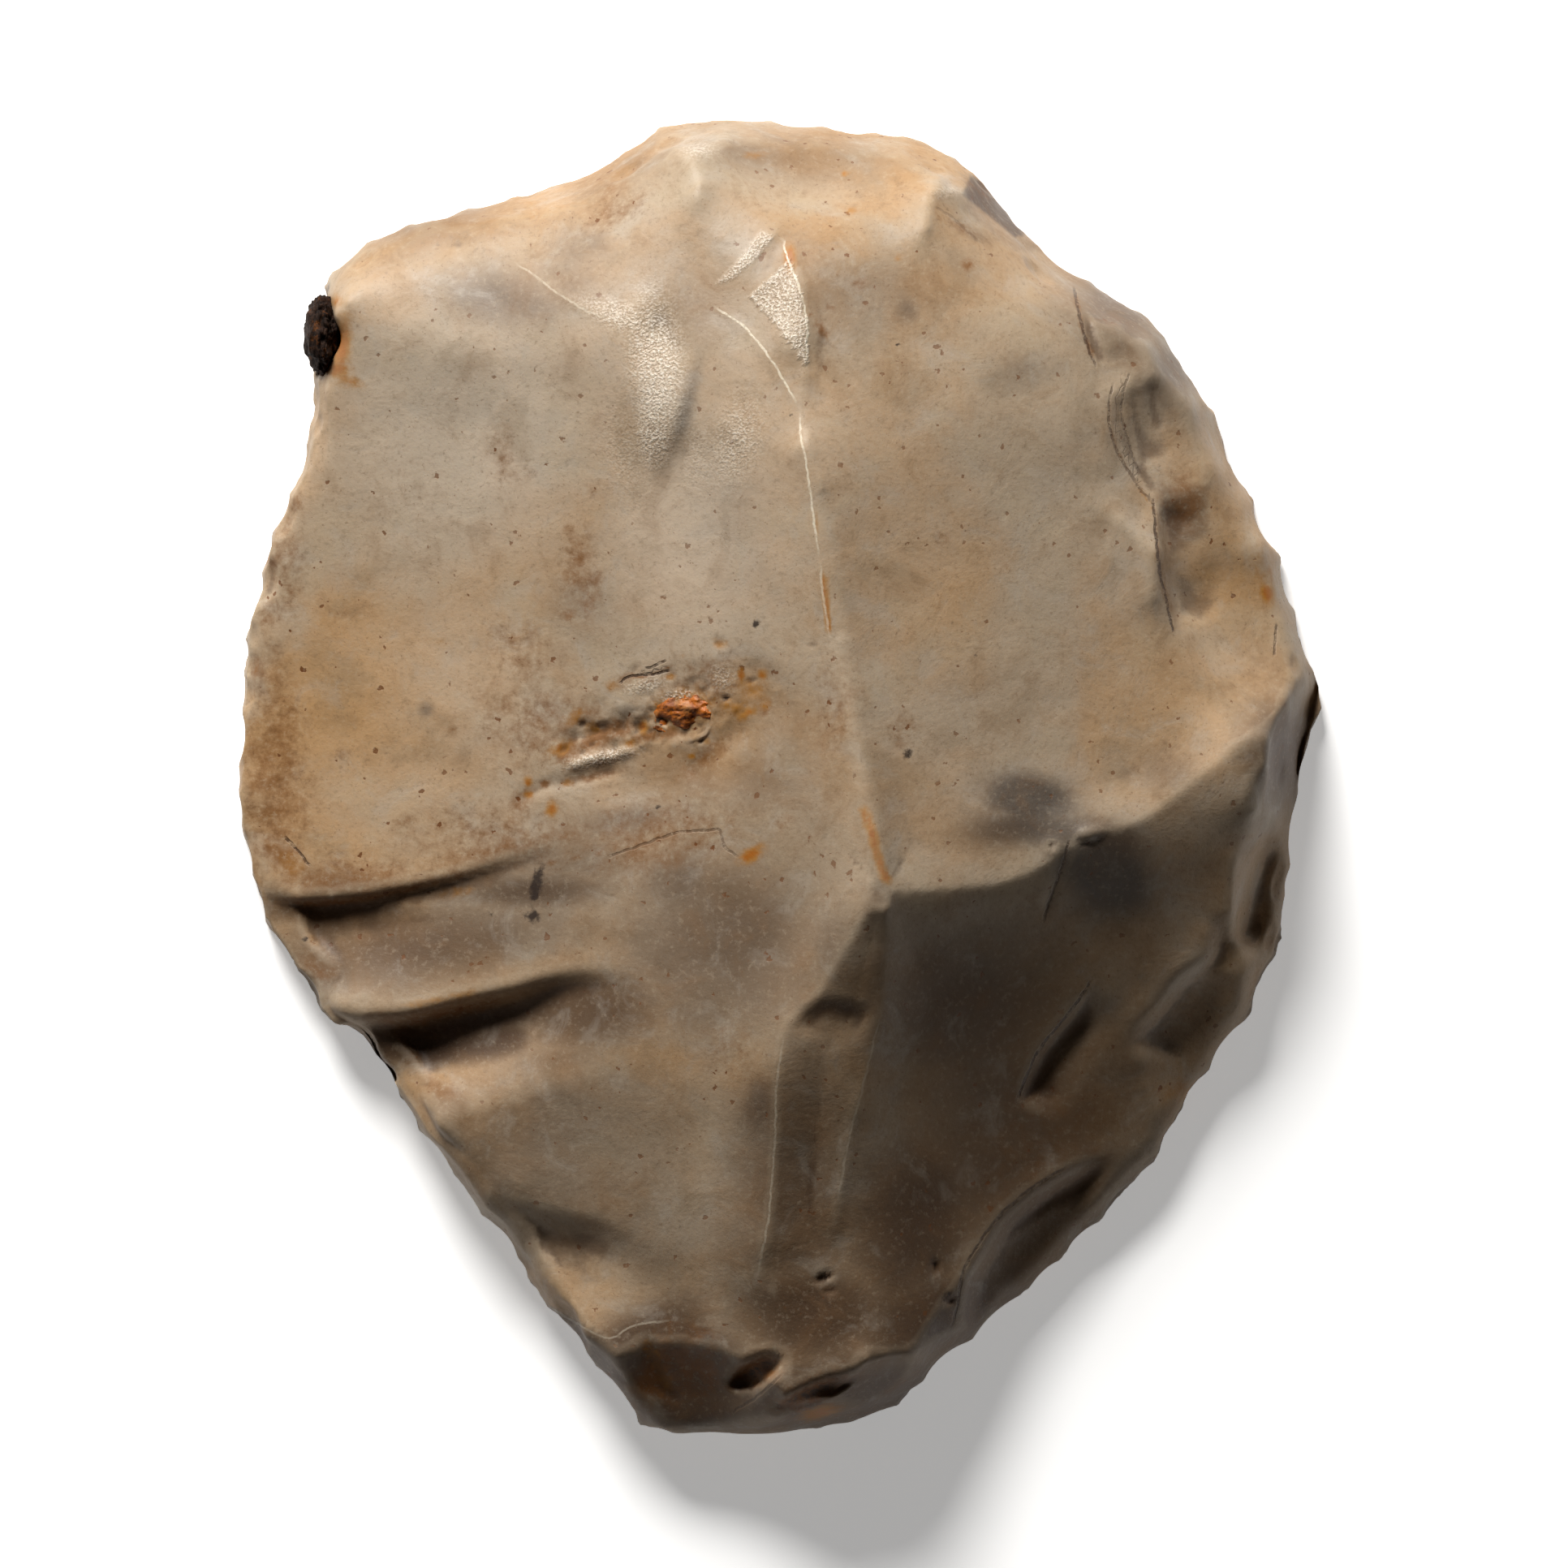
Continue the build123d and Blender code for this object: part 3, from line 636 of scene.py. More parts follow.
# Soil held in hollows, steps and pits.
for place, long, wide, turn, strength in (
    ((-9.5, 10.2), 0.8, 1.7, -8, 0.65), ((-9.0, 8.5), 0.6, 1.1, 10, 0.6), ((-7.1, 4.6), 1.2, 0.5, 20, 0.55),
    ((-8.2, 2.0), 2.4, 0.55, 25, 0.95), ((-9.9, 1.3), 1.0, 0.6, 45, 0.9), ((-9.4, 2.8), 1.2, 0.6, 30, 0.7),
    ((-5.7, 2.0), 1.6, 0.35, 10, 0.85), ((-9.0, 0.0), 1.6, 0.30, 12, 0.75), ((-12.2, -1.1), 1.0, 0.5, 40, 0.7),
    ((-11.0, -0.3), 0.30, 0.22, 0, 1.0), ((-3.4, 0.9), 1.8, 0.55, 38, 0.55), ((-0.6, 3.3), 0.45, 0.5, 0, 0.6),
    ((-4.0, 9.9), 0.5, 0.4, 0, 0.2), ((-6.9, -2.5), 1.2, 0.7, 0, 0.45), ((-3.6, 4.4), 0.4, 0.3, 0, 0.5),
    ((-13.7, -3.5), 3.2, 0.6, 10, 0.7), ((-11.5, -2.9), 3.0, 0.5, 12, 0.5), ((0.2, -2.0), 0.5, 1.0, -30, 0.4),
    ((-23.5, -3.6), 1.3, 0.8, -30, 0.8), ((-8.6, 13.5), 1.0, 0.6, 0, 0.35), ((-23.5, 2.2), 0.8, 5.0, 6, 0.55),
    ((-23.1, -1.6), 1.6, 1.8, 0, 0.5), ((-5.7, -27.9), 1.0, 2.0, -25, 0.9), ((-4.2, -27.6), 1.8, 1.8, 0, 0.7),
    ((-1.1, -27.9), 1.3, 0.8, 28, 0.9), ((1.5, -28.9), 2.0, 0.7, 22, 0.9), ((10.7, 9.9), 0.5, 0.5, 0, 0.35),
    ((7.6, 11.2), 0.6, 0.5, 0, 0.35), ((19.0, 12.9), 1.3, 1.6, 0, 0.6), ((8.4, 25.9), 1.6, 0.25, -28, 0.5),
    ((-2.3, -12.7), 1.6, 2.0, 0, 0.3), ((13.0, -16.9), 6.0, 6.0, 0, 0.25), ((-7.6, 26.6), 1.8, 0.7, 25, 0.5),
    ((-7.8, 27.6), 1.0, 0.4, 30, 0.5), ((3.8, 23.2), 0.5, 0.4, 30, 0.45), ((8.9, 24.1), 0.35, 0.3, 0, 0.8),
    ((1.5, 21.7), 0.2, 0.2, 0, 0.8), ((2.0, 21.0), 0.18, 0.7, 35, 0.9), ((2.4, 22.0), 0.15, 0.3, 35, 0.7),
    ((-21.8, -9.0), 1.2, 0.8, -30, 0.5), ((-16.0, -14.6), 1.2, 0.7, -30, 0.5), ((-19.9, -4.8), 2.5, 0.4, 3, 0.5),
    ((9.4, 27.7), 1.1, 0.5, -40, 0.4), ((-20.6, 7.6), 0.4, 0.3, 0, 0.5),
    ((-9.9, 11.6), 0.4, 0.35, 0, 0.7), ((-8.6, 9.3), 0.35, 0.5, 0, 0.8), ((-9.9, 7.6), 0.5, 0.3, 0, 0.7), ((-12.2, 14.1), 2.0, 0.5, 25, 0.3),
    ((-24.1, 7.6), 0.5, 0.8, 0, 0.7), ((-24.5, 4.9), 0.5, 1.0, 0, 0.8), ((-23.9, 10.2), 0.5, 0.5, 0, 0.7), ((-22.7, 12.9), 0.4, 0.5, 0, 0.7),
    ((-20.6, 1.1), 0.5, 0.3, 0, 0.5), ((-15.3, 2.2), 0.3, 0.3, 0, 0.6), ((-17.6, -2.0), 0.8, 0.3, 10, 0.5), ((-22.1, -0.1), 0.4, 0.3, 0, 0.6), ((-15.3, 2.2), 0.4, 0.25, 30, 0.4),
):
    spot("soil", place, long, wide, turn, strength)
# Umber patches: painted shade on the lit bump of the upper right margin, and a darker brown in the hollow at the right
# and round the butt scar.
patch("umber_and_painted_shade", [(8.4, 26.8), (10.0, 28.0), (11.5, 26.3), (12.6, 24.7), (11.1, 24.7)], 0.35, 0.5)
patch("umber_and_painted_shade", [(9.0, 28.4), (10.0, 27.9), (10.9, 27.0), (11.6, 25.6), (11.1, 25.4), (10.0, 26.3), (8.6, 27.4)], 0.95, 0.3)
patch("umber_and_painted_shade", [(17.7, 13.7), (20.3, 13.8), (20.2, 11.4), (18.3, 10.2)], 0.55, 0.8)
patch("umber_and_painted_shade", [(-11.1, -24.7), (-8.0, -26.4), (-6.9, -25.8), (-4.8, -25.5), (-3.3, -25.9), (-2.6, -26.8), (-2.1, -27.9), (-3.1, -30.6), (-6.9, -30.6)], 0.9, 0.25)
streak("soil", [(-24.5, -5.3), (-23.3, -5.8), (-19.9, -5.7), (-15.8, -4.8), (-13.0, -4.0)], 0.30, 0.8)
# Painted shade: a dark umber band down the face of the second step.
streak("umber_and_painted_shade", [(-20.4, -12.0), (-17.6, -12.8), (-13.7, -12.6), (-10.7, -11.6)], 1.0, 1.0)
for place, long, wide, turn, strength in (
    ((-10.7, 2.2), 4.2, 2.4, -20, 0.50), ((-13.7, -2.7), 5.0, 1.8, 0, 0.46), ((-5.7, -2.7), 4.2, 2.0, 10, 0.50),
    ((-17.6, 13.7), 4.0, 5.0, 0, 0.20), ((-3.8, 4.1), 3.6, 2.0, 20, 0.48), ((2.7, 3.4), 1.6, 3.0, 0, 0.36),
    ((-23.7, -0.1), 1.6, 5.5, 0, 0.66), ((-20.6, -4.7), 4.6, 1.2, 0, 0.56), ((-13.0, 15.2), 0.9, 1.8, 10, 0.45),
    ((-12.2, 6.0), 2.2, 1.6, -40, 0.44), ((-23.3, 9.9), 1.2, 3.4, 0, 0.46), ((5.7, 2.2), 0.9, 1.0, 0, 0.45),
):
    spot("soil", place, long, wide, turn, strength)
streak("soil", [(-20.2, -11.4), (-17.5, -11.3), (-14.8, -10.8), (-12.2, -10.2)], 0.45, 0.6)
streak("soil", [(17.7, 12.9), (17.9, 9.9), (18.6, 6.8)], 0.18, 0.6)
streak("soil", [(13.9, 23.1), (14.2, 21.3), (14.9, 19.4)], 0.14, 0.6)
streak("soil", [(15.7, 18.5), (15.5, 16.9), (16.0, 15.2), (16.8, 13.8)], 0.10, 0.6)
streak("soil", [(-7.4, 4.7), (-6.1, 4.8), (-4.7, 5.4)], 0.09, 0.9)
streak("soil", [(-7.3, 4.4), (-5.9, 4.5), (-4.5, 5.0)], 0.07, 0.7)
streak("soil", [(-12.2, -4.3), (-9.2, -3.7), (-6.5, -3.0), (-3.1, -2.4), (-2.7, -3.1), (-2.1, -3.7)], 0.06, 0.7)
streak("soil", [(-23.3, -2.8), (-22.7, -3.4), (-22.1, -4.2)], 0.10, 0.8)

# Near-black marks: manganese in the lower left, single specks, and near-black in the bruises and pits at the butt end.
for place, long, wide, turn, strength in (
    ((-11.4, -5.0), 0.35, 1.1, -12, 1.0), ((-11.6, -6.5), 0.45, 0.35, 0, 1.0), ((-13.7, -6.4), 0.35, 0.22, 0, 0.9),
    ((-1.1, 7.2), 0.26, 0.16, 15, 1.2), ((-5.6, 2.7), 0.35, 0.2, 20, 1.0), ((6.0, 1.1), 0.35, 0.4, 30, 0.7),
    ((-22.3, -7.6), 0.26, 0.14, 0, 0.9), ((-2.5, 3.7), 0.2, 0.14, 0, 0.9), ((-5.7, -1.4), 0.22, 0.12, 20, 0.9),
    ((0.5, 17.0), 0.10, 0.10, 0, 1.0), ((0.8, 20.4), 0.35, 0.09, 35, 0.7), ((2.0, 21.3), 0.10, 0.7, 30, 0.6),
    ((5.6, 20.3), 0.14, 0.12, 0, 1.0), ((15.7, 3.2), 0.16, 0.10, 20, 1.0), ((15.3, 12.9), 0.12, 0.10, 0, 0.9),
    ((9.2, 5.8), 0.16, 0.11, 60, 0.9), ((-12.7, 16.8), 0.35, 0.10, 40, 0.6), ((-14.4, 15.0), 0.5, 0.07, 20, 0.6),
    ((1.5, 11.2), 0.35, 0.07, 35, 0.7), ((8.2, 7.3), 0.5, 0.06, 45, 0.5), ((-4.6, -21.1), 0.22, 0.08, 30, 0.8),
    ((13.1, -5.3), 0.08, 0.2, 0, 0.7), ((18.9, -5.3), 0.08, 0.2, 0, 0.7), ((-11.8, -7.6), 0.10, 0.5, -10, 0.6),
    ((-1.1, -27.9), 1.0, 0.4, 28, 0.7), ((1.5, -28.9), 1.6, 0.28, 22, 0.7), ((2.1, -23.5), 0.4, 0.14, 15, 0.8),
    ((7.3, -22.9), 0.15, 0.28, 0, 0.8), ((7.9, -24.3), 0.3, 0.15, 20, 0.8),
):
    spot("black", place, long, wide, turn, strength)

# The lower right is browner and darker all through: part soil stain, part painted shade.
for place, long, wide, turn, strength in (
    ((10.7, -18.0), 8.0, 11.0, -20, 0.75), ((4.6, -26.0), 8.0, 4.5, 0, 0.75),
    ((-4.6, -28.3), 5.0, 3.0, 0, 0.5), ((10.7, -23.7), 4.0, 3.5, 30, 0.7),
):
    spot("umber_and_painted_shade", place, long, wide, turn, strength)

# Painted shade: umber darkening where faces turn from the lamp, mixed with brown staining. It covers the area below
# the fork, the flank under the ridge at the top left, the crown, the steps and the butt.
for place, long, wide, turn, strength in (
    ((-10.7, -17.6), 10.0, 7.5, -40, 0.48), ((0.8, -19.9), 4.5, 9.0, 0, 0.70), ((-4.2, -29.5), 6.0, 2.4, 0, 0.9),
    ((9.2, -12.7), 8.0, 7.5, 20, 0.40), ((13.0, -19.9), 7.0, 4.5, 40, 0.6), ((6.5, -21.1), 4.0, 6.0, -10, 0.95),
    ((-15.3, -11.6), 5.0, 0.9, 8, 1.0), ((2.3, -10.8), 2.4, 0.7, 0, 0.8), ((-17.6, -7.9), 7.0, 2.2, 5, 0.45),
    ((4.6, -29.1), 6.0, 2.6, 15, 0.9), ((-21.4, -6.2), 4.0, 0.8, 0, 0.8), ((-16.4, -7.9), 8.0, 2.4, 8, 0.85),
    ((13.0, 3.0), 6.0, 5.0, 0, 0.26), ((-16.8, 26.3), 6.5, 2.0, 8, 0.60), ((-7.6, 28.6), 4.0, 1.6, 25, 0.45),
    ((3.8, 23.6), 7.0, 4.0, 0, 0.42), ((-3.8, 21.7), 3.0, 2.4, 0, 0.42), ((1.5, 29.3), 7.0, 2.0, 0, 0.50),
    ((-11.8, -5.4), 5.0, 1.1, 3, 0.85), ((-10.3, -13.2), 4.0, 1.3, 8, 0.6), ((-15.5, -15.5), 2.6, 1.5, -30, 0.6),
    ((-3.1, -10.8), 4.6, 2.2, 5, 0.62), ((-9.2, 7.9), 2.8, 2.2, 20, 0.42), ((18.3, 19.2), 1.8, 2.0, -30, 0.6),
    ((18.3, 0.3), 2.0, 1.4, 0, 0.5), ((-12.2, 23.2), 5.5, 2.4, -8, 0.40), ((15.8, 21.9), 3.6, 2.4, -40, 0.75), ((23.7, 1.1), 2.2, 3.4, 0, 0.95),
    ((0.0, 2.2), 4.0, 3.6, 0, 0.42), ((-2.3, -8.1), 6.5, 6.0, 0, 0.74), ((4.8, -5.6), 1.6, 1.4, 0, 0.6),
    ((2.3, -8.1), 2.0, 3.0, 0, 0.62), ((10.1, -2.7), 2.4, 1.1, 0, 0.6), ((15.7, -2.7), 2.2, 0.9, -20, 0.6), ((-1.1, -0.1), 2.6, 2.4, 0, 0.5), ((-9.9, -4.3), 6.5, 2.0, 8, 0.50),
    ((-20.2, -5.1), 3.0, 0.9, 0, 0.6), ((-19.3, -13.1), 1.8, 1.2, -20, 1.0), ((-8.8, -11.1), 4.8, 2.4, 10, 0.85),
    ((1.5, -25.3), 5.0, 3.0, 0, 1.0), ((-6.5, -26.4), 4.6, 1.8, 25, 0.95),
    ((7.3, -25.3), 5.0, 2.6, 20, 1.0), ((-7.6, 7.6), 3.6, 3.0, 20, 0.28),
    ((-4.2, 0.3), 3.6, 2.0, 0, 0.45), ((5.3, 24.4), 4.0, 3.0, 0, 0.25), ((5.0, -2.0), 1.6, 3.0, 0, 0.35),
    ((-9.9, -16.9), 9.0, 8.0, -40, 0.5), ((9.2, -11.1), 7.0, 5.0, 0, 0.75), ((-4.2, -28.3), 6.0, 3.0, 0, 1.0), ((1.5, -29.1), 5.0, 2.4, 10, 1.0),
    ((-6.1, -23.0), 4.0, 2.4, 0, 0.4), ((-9.9, -9.6), 3.0, 0.8, 10, 0.5),
):
    spot("umber_and_painted_shade", place, long, wide, turn, strength)

# Polish on the crown, where the skin is glassy, and on the arrises. Besides lowering the roughness, it paints sparkle
# highlights into the colour, brightest on the small facet.
for place, long, wide, turn, strength in (
    ((-5.8, 19.2), 1.3, 3.4, 4, 1.0), ((-5.9, 16.3), 0.9, 1.8, 0, 0.9), ((-7.1, 21.5), 2.4, 0.8, -20, 0.7),
    ((-2.0, 15.8), 1.3, 2.4, -15, 0.6), ((-3.8, 15.2), 1.2, 2.4, 0, 0.35), ((-7.3, 15.2), 1.6, 3.2, 10, 0.35),
    ((-3.8, 29.5), 1.0, 0.5, 0, 0.5), ((-4.7, 3.7), 0.9, 0.5, 0, 0.8), ((-8.4, 0.9), 1.8, 0.35, 12, 0.9),
    ((-6.3, 4.3), 1.2, 0.4, 15, 0.6), ((-2.7, 4.7), 0.8, 0.8, 0, 0.5), ((7.8, 27.5), 1.0, 0.4, 10, 0.4),
):
    spot("polish_and_painted_sparkle", place, long, wide, turn, strength)
patch("polish_and_painted_sparkle", [(-1.4, 22.6), (-0.2, 23.7), (0.5, 24.4), (0.8, 23.4), (1.1, 22.4), (1.3, 21.3), (1.3, 19.2), (0.6, 20.3), (-0.4, 21.5)], 1.0, 0.12)
patch("polish_and_painted_sparkle", [(-3.0, 23.1), (-1.8, 24.4), (-0.8, 25.7), (-0.2, 25.4), (-1.0, 24.4), (-2.1, 23.4)], 0.75, 0.3)

stain("arris", np.clip(proud / 0.020, 0, 1) * 0.7 + np.clip(proud_wide / 0.14, 0, 1) * 0.5)
# Brown in every hollow, read from the curvature: soil in the crevices and painted shade.
stain("crevice_soil_and_painted_shade", (np.clip(-proud / 0.022, 0, 1) * 0.55 + np.clip(-proud_wide / 0.12, 0, 1) * 0.6) * smooth((facing - 0.5) / 0.3))

# Hair lines: painted glints, thin near-white painted highlights on the sharpest arrises, and brown lines of dirt in
# cracks and along scar edges.
fine_lines("painted_glint", [
    ([(-3.2, 22.2), (-2.6, 21.8), (-1.8, 21.3), (-1.0, 20.4), (-0.3, 19.5), (0.4, 18.3), (0.9, 17.4)], 1.0),
    ([(-0.1, 25.4), (0.2, 25.2), (0.3, 24.6), (0.8, 23.4), (1.1, 22.4), (1.3, 21.3), (1.3, 20.2), (1.3, 19.1)], 1.0),
    ([(1.0, 17.3), (1.0, 16.1), (1.2, 15.0), (1.4, 13.9), (1.6, 12.1), (1.9, 10.2)], 0.9),
    ([(1.9, 10.2), (2.1, 8.3), (2.4, 6.4)], 0.5),
    ([(-12.6, 24.3), (-11.5, 23.6), (-10.6, 22.9), (-9.2, 22.0), (-7.8, 21.4)], 0.4),
    ([(0.3, -11.8), (-0.1, -14.2), (-0.2, -16.9), (-0.5, -20.7), (-1.1, -23.7)], 0.35),
    ([(4.8, -11.0), (3.9, -14.6), (3.3, -16.9), (2.7, -20.3)], 0.25),
    ([(-11.2, -24.7), (-9.7, -25.6), (-8.0, -26.4), (-6.9, -25.8), (-4.8, -25.5)], 0.3),
])
fine_lines("crack", [
    ([(-7.5, 4.4), (-7.1, 4.7), (-6.6, 4.8), (-6.1, 4.8), (-5.6, 4.9), (-5.1, 5.0)], 1.0),
    ([(-6.3, 5.1), (-5.9, 5.2), (-5.3, 5.5)], 0.8),
    ([(-8.2, -3.8), (-7.1, -3.4), (-6.0, -3.0), (-4.8, -2.6), (-3.6, -2.5), (-2.8, -2.5), (-2.6, -3.2), (-1.8, -3.8)], 0.45),
    ([(7.3, 26.8), (8.0, 26.4), (8.8, 25.7), (9.5, 25.1)], 0.3),
    ([(13.9, 23.1), (14.1, 21.9), (14.5, 20.3), (14.9, 19.3)], 0.8),
    ([(15.7, 18.6), (15.5, 16.9), (15.9, 15.3), (16.8, 13.8), (17.6, 12.8)], 0.6),
    ([(16.5, 19.1), (16.1, 17.7), (16.3, 16.2), (17.0, 14.1)], 0.5),
    ([(17.6, 13.2), (17.7, 11.5), (17.9, 9.6), (18.2, 8.3), (18.6, 6.6)], 0.9),
    ([(23.4, 7.2), (23.3, 5.7)], 0.7),
    ([(13.6, -2.9), (13.3, -4.1), (12.7, -5.7), (12.4, -6.8)], 0.6),
    ([(11.1, -15.4), (12.1, -13.0), (13.6, -11.1), (14.7, -9.5)], 0.9),
    ([(8.0, -26.0), (8.3, -25.2), (8.7, -23.2), (9.7, -21.5), (10.6, -20.4), (12.1, -19.2), (13.6, -18.3)], 0.7),
    ([(-23.3, -2.8), (-22.7, -3.4), (-22.1, -4.2)], 0.9),
    ([(-2.1, -29.8), (-1.1, -29.2), (0.1, -28.1)], 0.5),
], 0.05)

SIGNED = ("painted_glint_gap", "crack_gap")
for name, amount in stains.items():
    layer = stone.data.attributes.new(name, "FLOAT", "POINT")
    layer.data.foreach_set("value", np.clip(amount, -1 if name in SIGNED else 0, 1).astype(np.float32))


def paint(red, green, blue):
    def linear(value):
        value /= 255
        return value / 12.92 if value <= 0.04045 else ((value + 0.055) / 1.055) ** 2.4
    return (linear(red), linear(green), linear(blue), 1.0)


def node(tree, kind, label=None, **settings):
    made = tree.nodes.new(kind)
    if label:
        made.label = label
    for key, value in settings.items():
        if key.startswith("in_"):
            made.inputs[key[3:].replace("_", " ")].default_value = value
        else:
            setattr(made, key, value)
    return made


def join(tree, source, target, output=0):
    tree.links.new(source.outputs[output] if hasattr(source, "outputs") else source, target)


def grain(tree, coords, size, detail=3.0, rough=0.55, bend=0.0):
    """Noise with lumps of about that size in millimetres."""
    made = node(tree, "ShaderNodeTexNoise", in_Scale=1000.0 / size, in_Detail=detail, in_Roughness=rough,
                in_Distortion=bend)
    tree.links.new(coords, made.inputs["Vector"])
    return made.outputs["Fac"]


def span(tree, value, low, high, to_low=0.0, to_high=1.0):
    made = node(tree, "ShaderNodeMapRange", in_From_Min=low, in_From_Max=high, in_To_Min=to_low, in_To_Max=to_high)
    made.interpolation_type = "SMOOTHSTEP"
    tree.links.new(value, made.inputs["Value"])
    return made.outputs["Result"]


def sum_of(tree, kind, first, second, clamp=False):
    made = node(tree, "ShaderNodeMath", operation=kind, use_clamp=clamp)
    for socket, value in zip(made.inputs, (first, second)):
        if isinstance(value, (int, float)):
            socket.default_value = value
        else:
            tree.links.new(value, socket)
    return made.outputs[0]


def blend(tree, amount, under_colour, over_colour, kind="MIX"):
    made = node(tree, "ShaderNodeMix", data_type="RGBA", blend_type=kind, clamp_factor=True)
    for socket, value in ((made.inputs[0], amount), (made.inputs[6], under_colour), (made.inputs[7], over_colour)):
        if isinstance(value, (int, float, tuple)):
            socket.default_value = value
        else:
            tree.links.new(value, socket)
    return made.outputs[2]


# Cloudiness, freckles and fine tooth of a mineral skin, shared by the stone and what is stuck to it.
skin = bpy.data.node_groups.new("mineral_skin", "ShaderNodeTree")
skin.interface.new_socket("Place", in_out="INPUT", socket_type="NodeSocketVector")
for name in ("Cloud", "Mottle", "Freckles", "Tooth"):
    skin.interface.new_socket(name, in_out="OUTPUT", socket_type="NodeSocketFloat")
skin_in = skin.nodes.new("NodeGroupInput")
skin_out = skin.nodes.new("NodeGroupOutput")
place = skin_in.outputs["Place"]
cloud = grain(skin, place, 9.0, 4.0, 0.55, 0.4)
mottle = grain(skin, place, 2.2, 5.0, 0.62, 0.6)
specks = node(skin, "ShaderNodeTexVoronoi", in_Scale=1000.0 / 0.75, in_Randomness=1.0)
skin.links.new(place, specks.inputs["Vector"])
speck_size = span(skin, grain(skin, place, 1.3, 4.0), 0.41, 0.67, -0.03, 0.21)
speck = sum_of(skin, "SUBTRACT", speck_size, specks.outputs["Distance"])
ragged = sum_of(skin, "MULTIPLY", sum_of(skin, "SUBTRACT", grain(skin, place, 0.24, 3.0), 0.5), 0.75)
freckles = span(skin, sum_of(skin, "ADD", speck, ragged), 0.0, 0.06)
fine = grain(skin, place, 0.16, 4.0, 0.6)
finer = grain(skin, place, 0.5, 2.0, 0.5)
tooth = sum_of(skin, "ADD", sum_of(skin, "MULTIPLY", fine, 0.5), sum_of(skin, "MULTIPLY", finer, 0.5))
skin.links.new(cloud, skin_out.inputs["Cloud"])
skin.links.new(mottle, skin_out.inputs["Mottle"])
skin.links.new(freckles, skin_out.inputs["Freckles"])
skin.links.new(tooth, skin_out.inputs["Tooth"])

flint = bpy.data.materials.new("patinated_flint")
flint.use_nodes = True
tree = flint.node_tree
surface = tree.nodes["Principled BSDF"]
where = node(tree, "ShaderNodeTexCoord").outputs["Object"]
skin_node = node(tree, "ShaderNodeGroup", node_tree=skin)
tree.links.new(where, skin_node.inputs["Place"])
mask = {}
for name in stains:
    mask[name] = node(tree, "ShaderNodeAttribute", attribute_name=name).outputs["Fac"]


def ragged_mask(name, size, depth=0.7):
    """A stain whose edge is broken up by the grain of the stone."""
    torn = sum_of(tree, "MULTIPLY", sum_of(tree, "SUBTRACT", grain(tree, where, size, 5.0, 0.65), 0.5), depth)
    return sum_of(tree, "ADD", mask[name], sum_of(tree, "MULTIPLY", torn, span(tree, mask[name], 0.02, 0.35)), True)


cloud, mottle = skin_node.outputs["Cloud"], skin_node.outputs["Mottle"]
patches = grain(tree, where, 4.5, 4.0, 0.6, 0.5)
fine_grain = grain(tree, where, 0.30, 4.0, 0.65)
dust = grain(tree, where, 0.17, 3.0, 0.7)
warmth = sum_of(tree, "ADD", sum_of(tree, "MULTIPLY", mask["warm"], 0.75), span(tree, cloud, 0.42, 0.60, 0.0, 0.30), True)
warmth = sum_of(tree, "ADD", warmth, span(tree, mottle, 0.36, 0.64, -0.12, 0.12), True)
tone = blend(tree, warmth, paint(188, 164, 137), paint(199, 156, 106))
tone = blend(tree, span(tree, ragged_mask("pale", 3.0, 0.3), 0.0, 1.0, 0.0, 0.8), tone, paint(222, 203, 180))
tone = blend(tree, span(tree, cloud, 0.52, 0.40, 0.0, 0.28), tone, paint(190, 176, 154))
tone = blend(tree, span(tree, patches, 0.52, 0.66, 0.0, 0.34), tone, paint(146, 124, 96))
tone = blend(tree, span(tree, patches, 0.48, 0.36, 0.0, 0.22), tone, paint(200, 180, 150))
# Slate grey: stains in the stone and painted shade.
tone = blend(tree, span(tree, ragged_mask("slate_and_painted_shade", 3.0, 0.35), 0.08, 0.85, 0.0, 0.88), tone, paint(86, 78, 72))
# Umber colour: brown staining and painted shade.
tone = blend(tree, span(tree, ragged_mask("umber_and_painted_shade", 5.0, 0.25), 0.0, 1.0, 0.0, 0.92), tone, paint(74, 50, 30))
tone = blend(tree, span(tree, mottle, 0.52, 0.70, 0.0, 0.28), tone, paint(132, 98, 64))
tone = blend(tree, span(tree, mottle, 0.46, 0.32, 0.0, 0.22), tone, paint(196, 186, 172))
tone = blend(tree, span(tree, ragged_mask("soil", 0.6, 1.5), 0.06, 1.0, 0.0, 0.88), tone, paint(130, 79, 18))
dense = span(tree, sum_of(tree, "ADD", mask["soil"], sum_of(tree, "MULTIPLY", mask["warm"], 0.6)), 0.0, 0.8, 0.62, 1.0)
tone = blend(tree, sum_of(tree, "MULTIPLY", skin_node.outputs["Freckles"], dense), tone, paint(116, 66, 20))
tone = blend(tree, span(tree, dust, 0.58, 0.74, 0.0, 0.45), tone, paint(112, 74, 38))
tone = blend(tree, span(tree, fine_grain, 0.52, 0.72, 0.0, 0.26), tone, paint(118, 94, 66))
tone = blend(tree, span(tree, fine_grain, 0.48, 0.30, 0.0, 0.18), tone, paint(210, 192, 166))
tone = blend(tree, span(tree, ragged_mask("iron", 0.6, 0.9), 0.12, 0.75, 0.0, 0.8), tone, paint(178, 118, 24))
tone = blend(tree, span(tree, ragged_mask("iron", 0.35, 0.9), 0.50, 1.0, 0.0, 0.9), tone, paint(172, 96, 6))
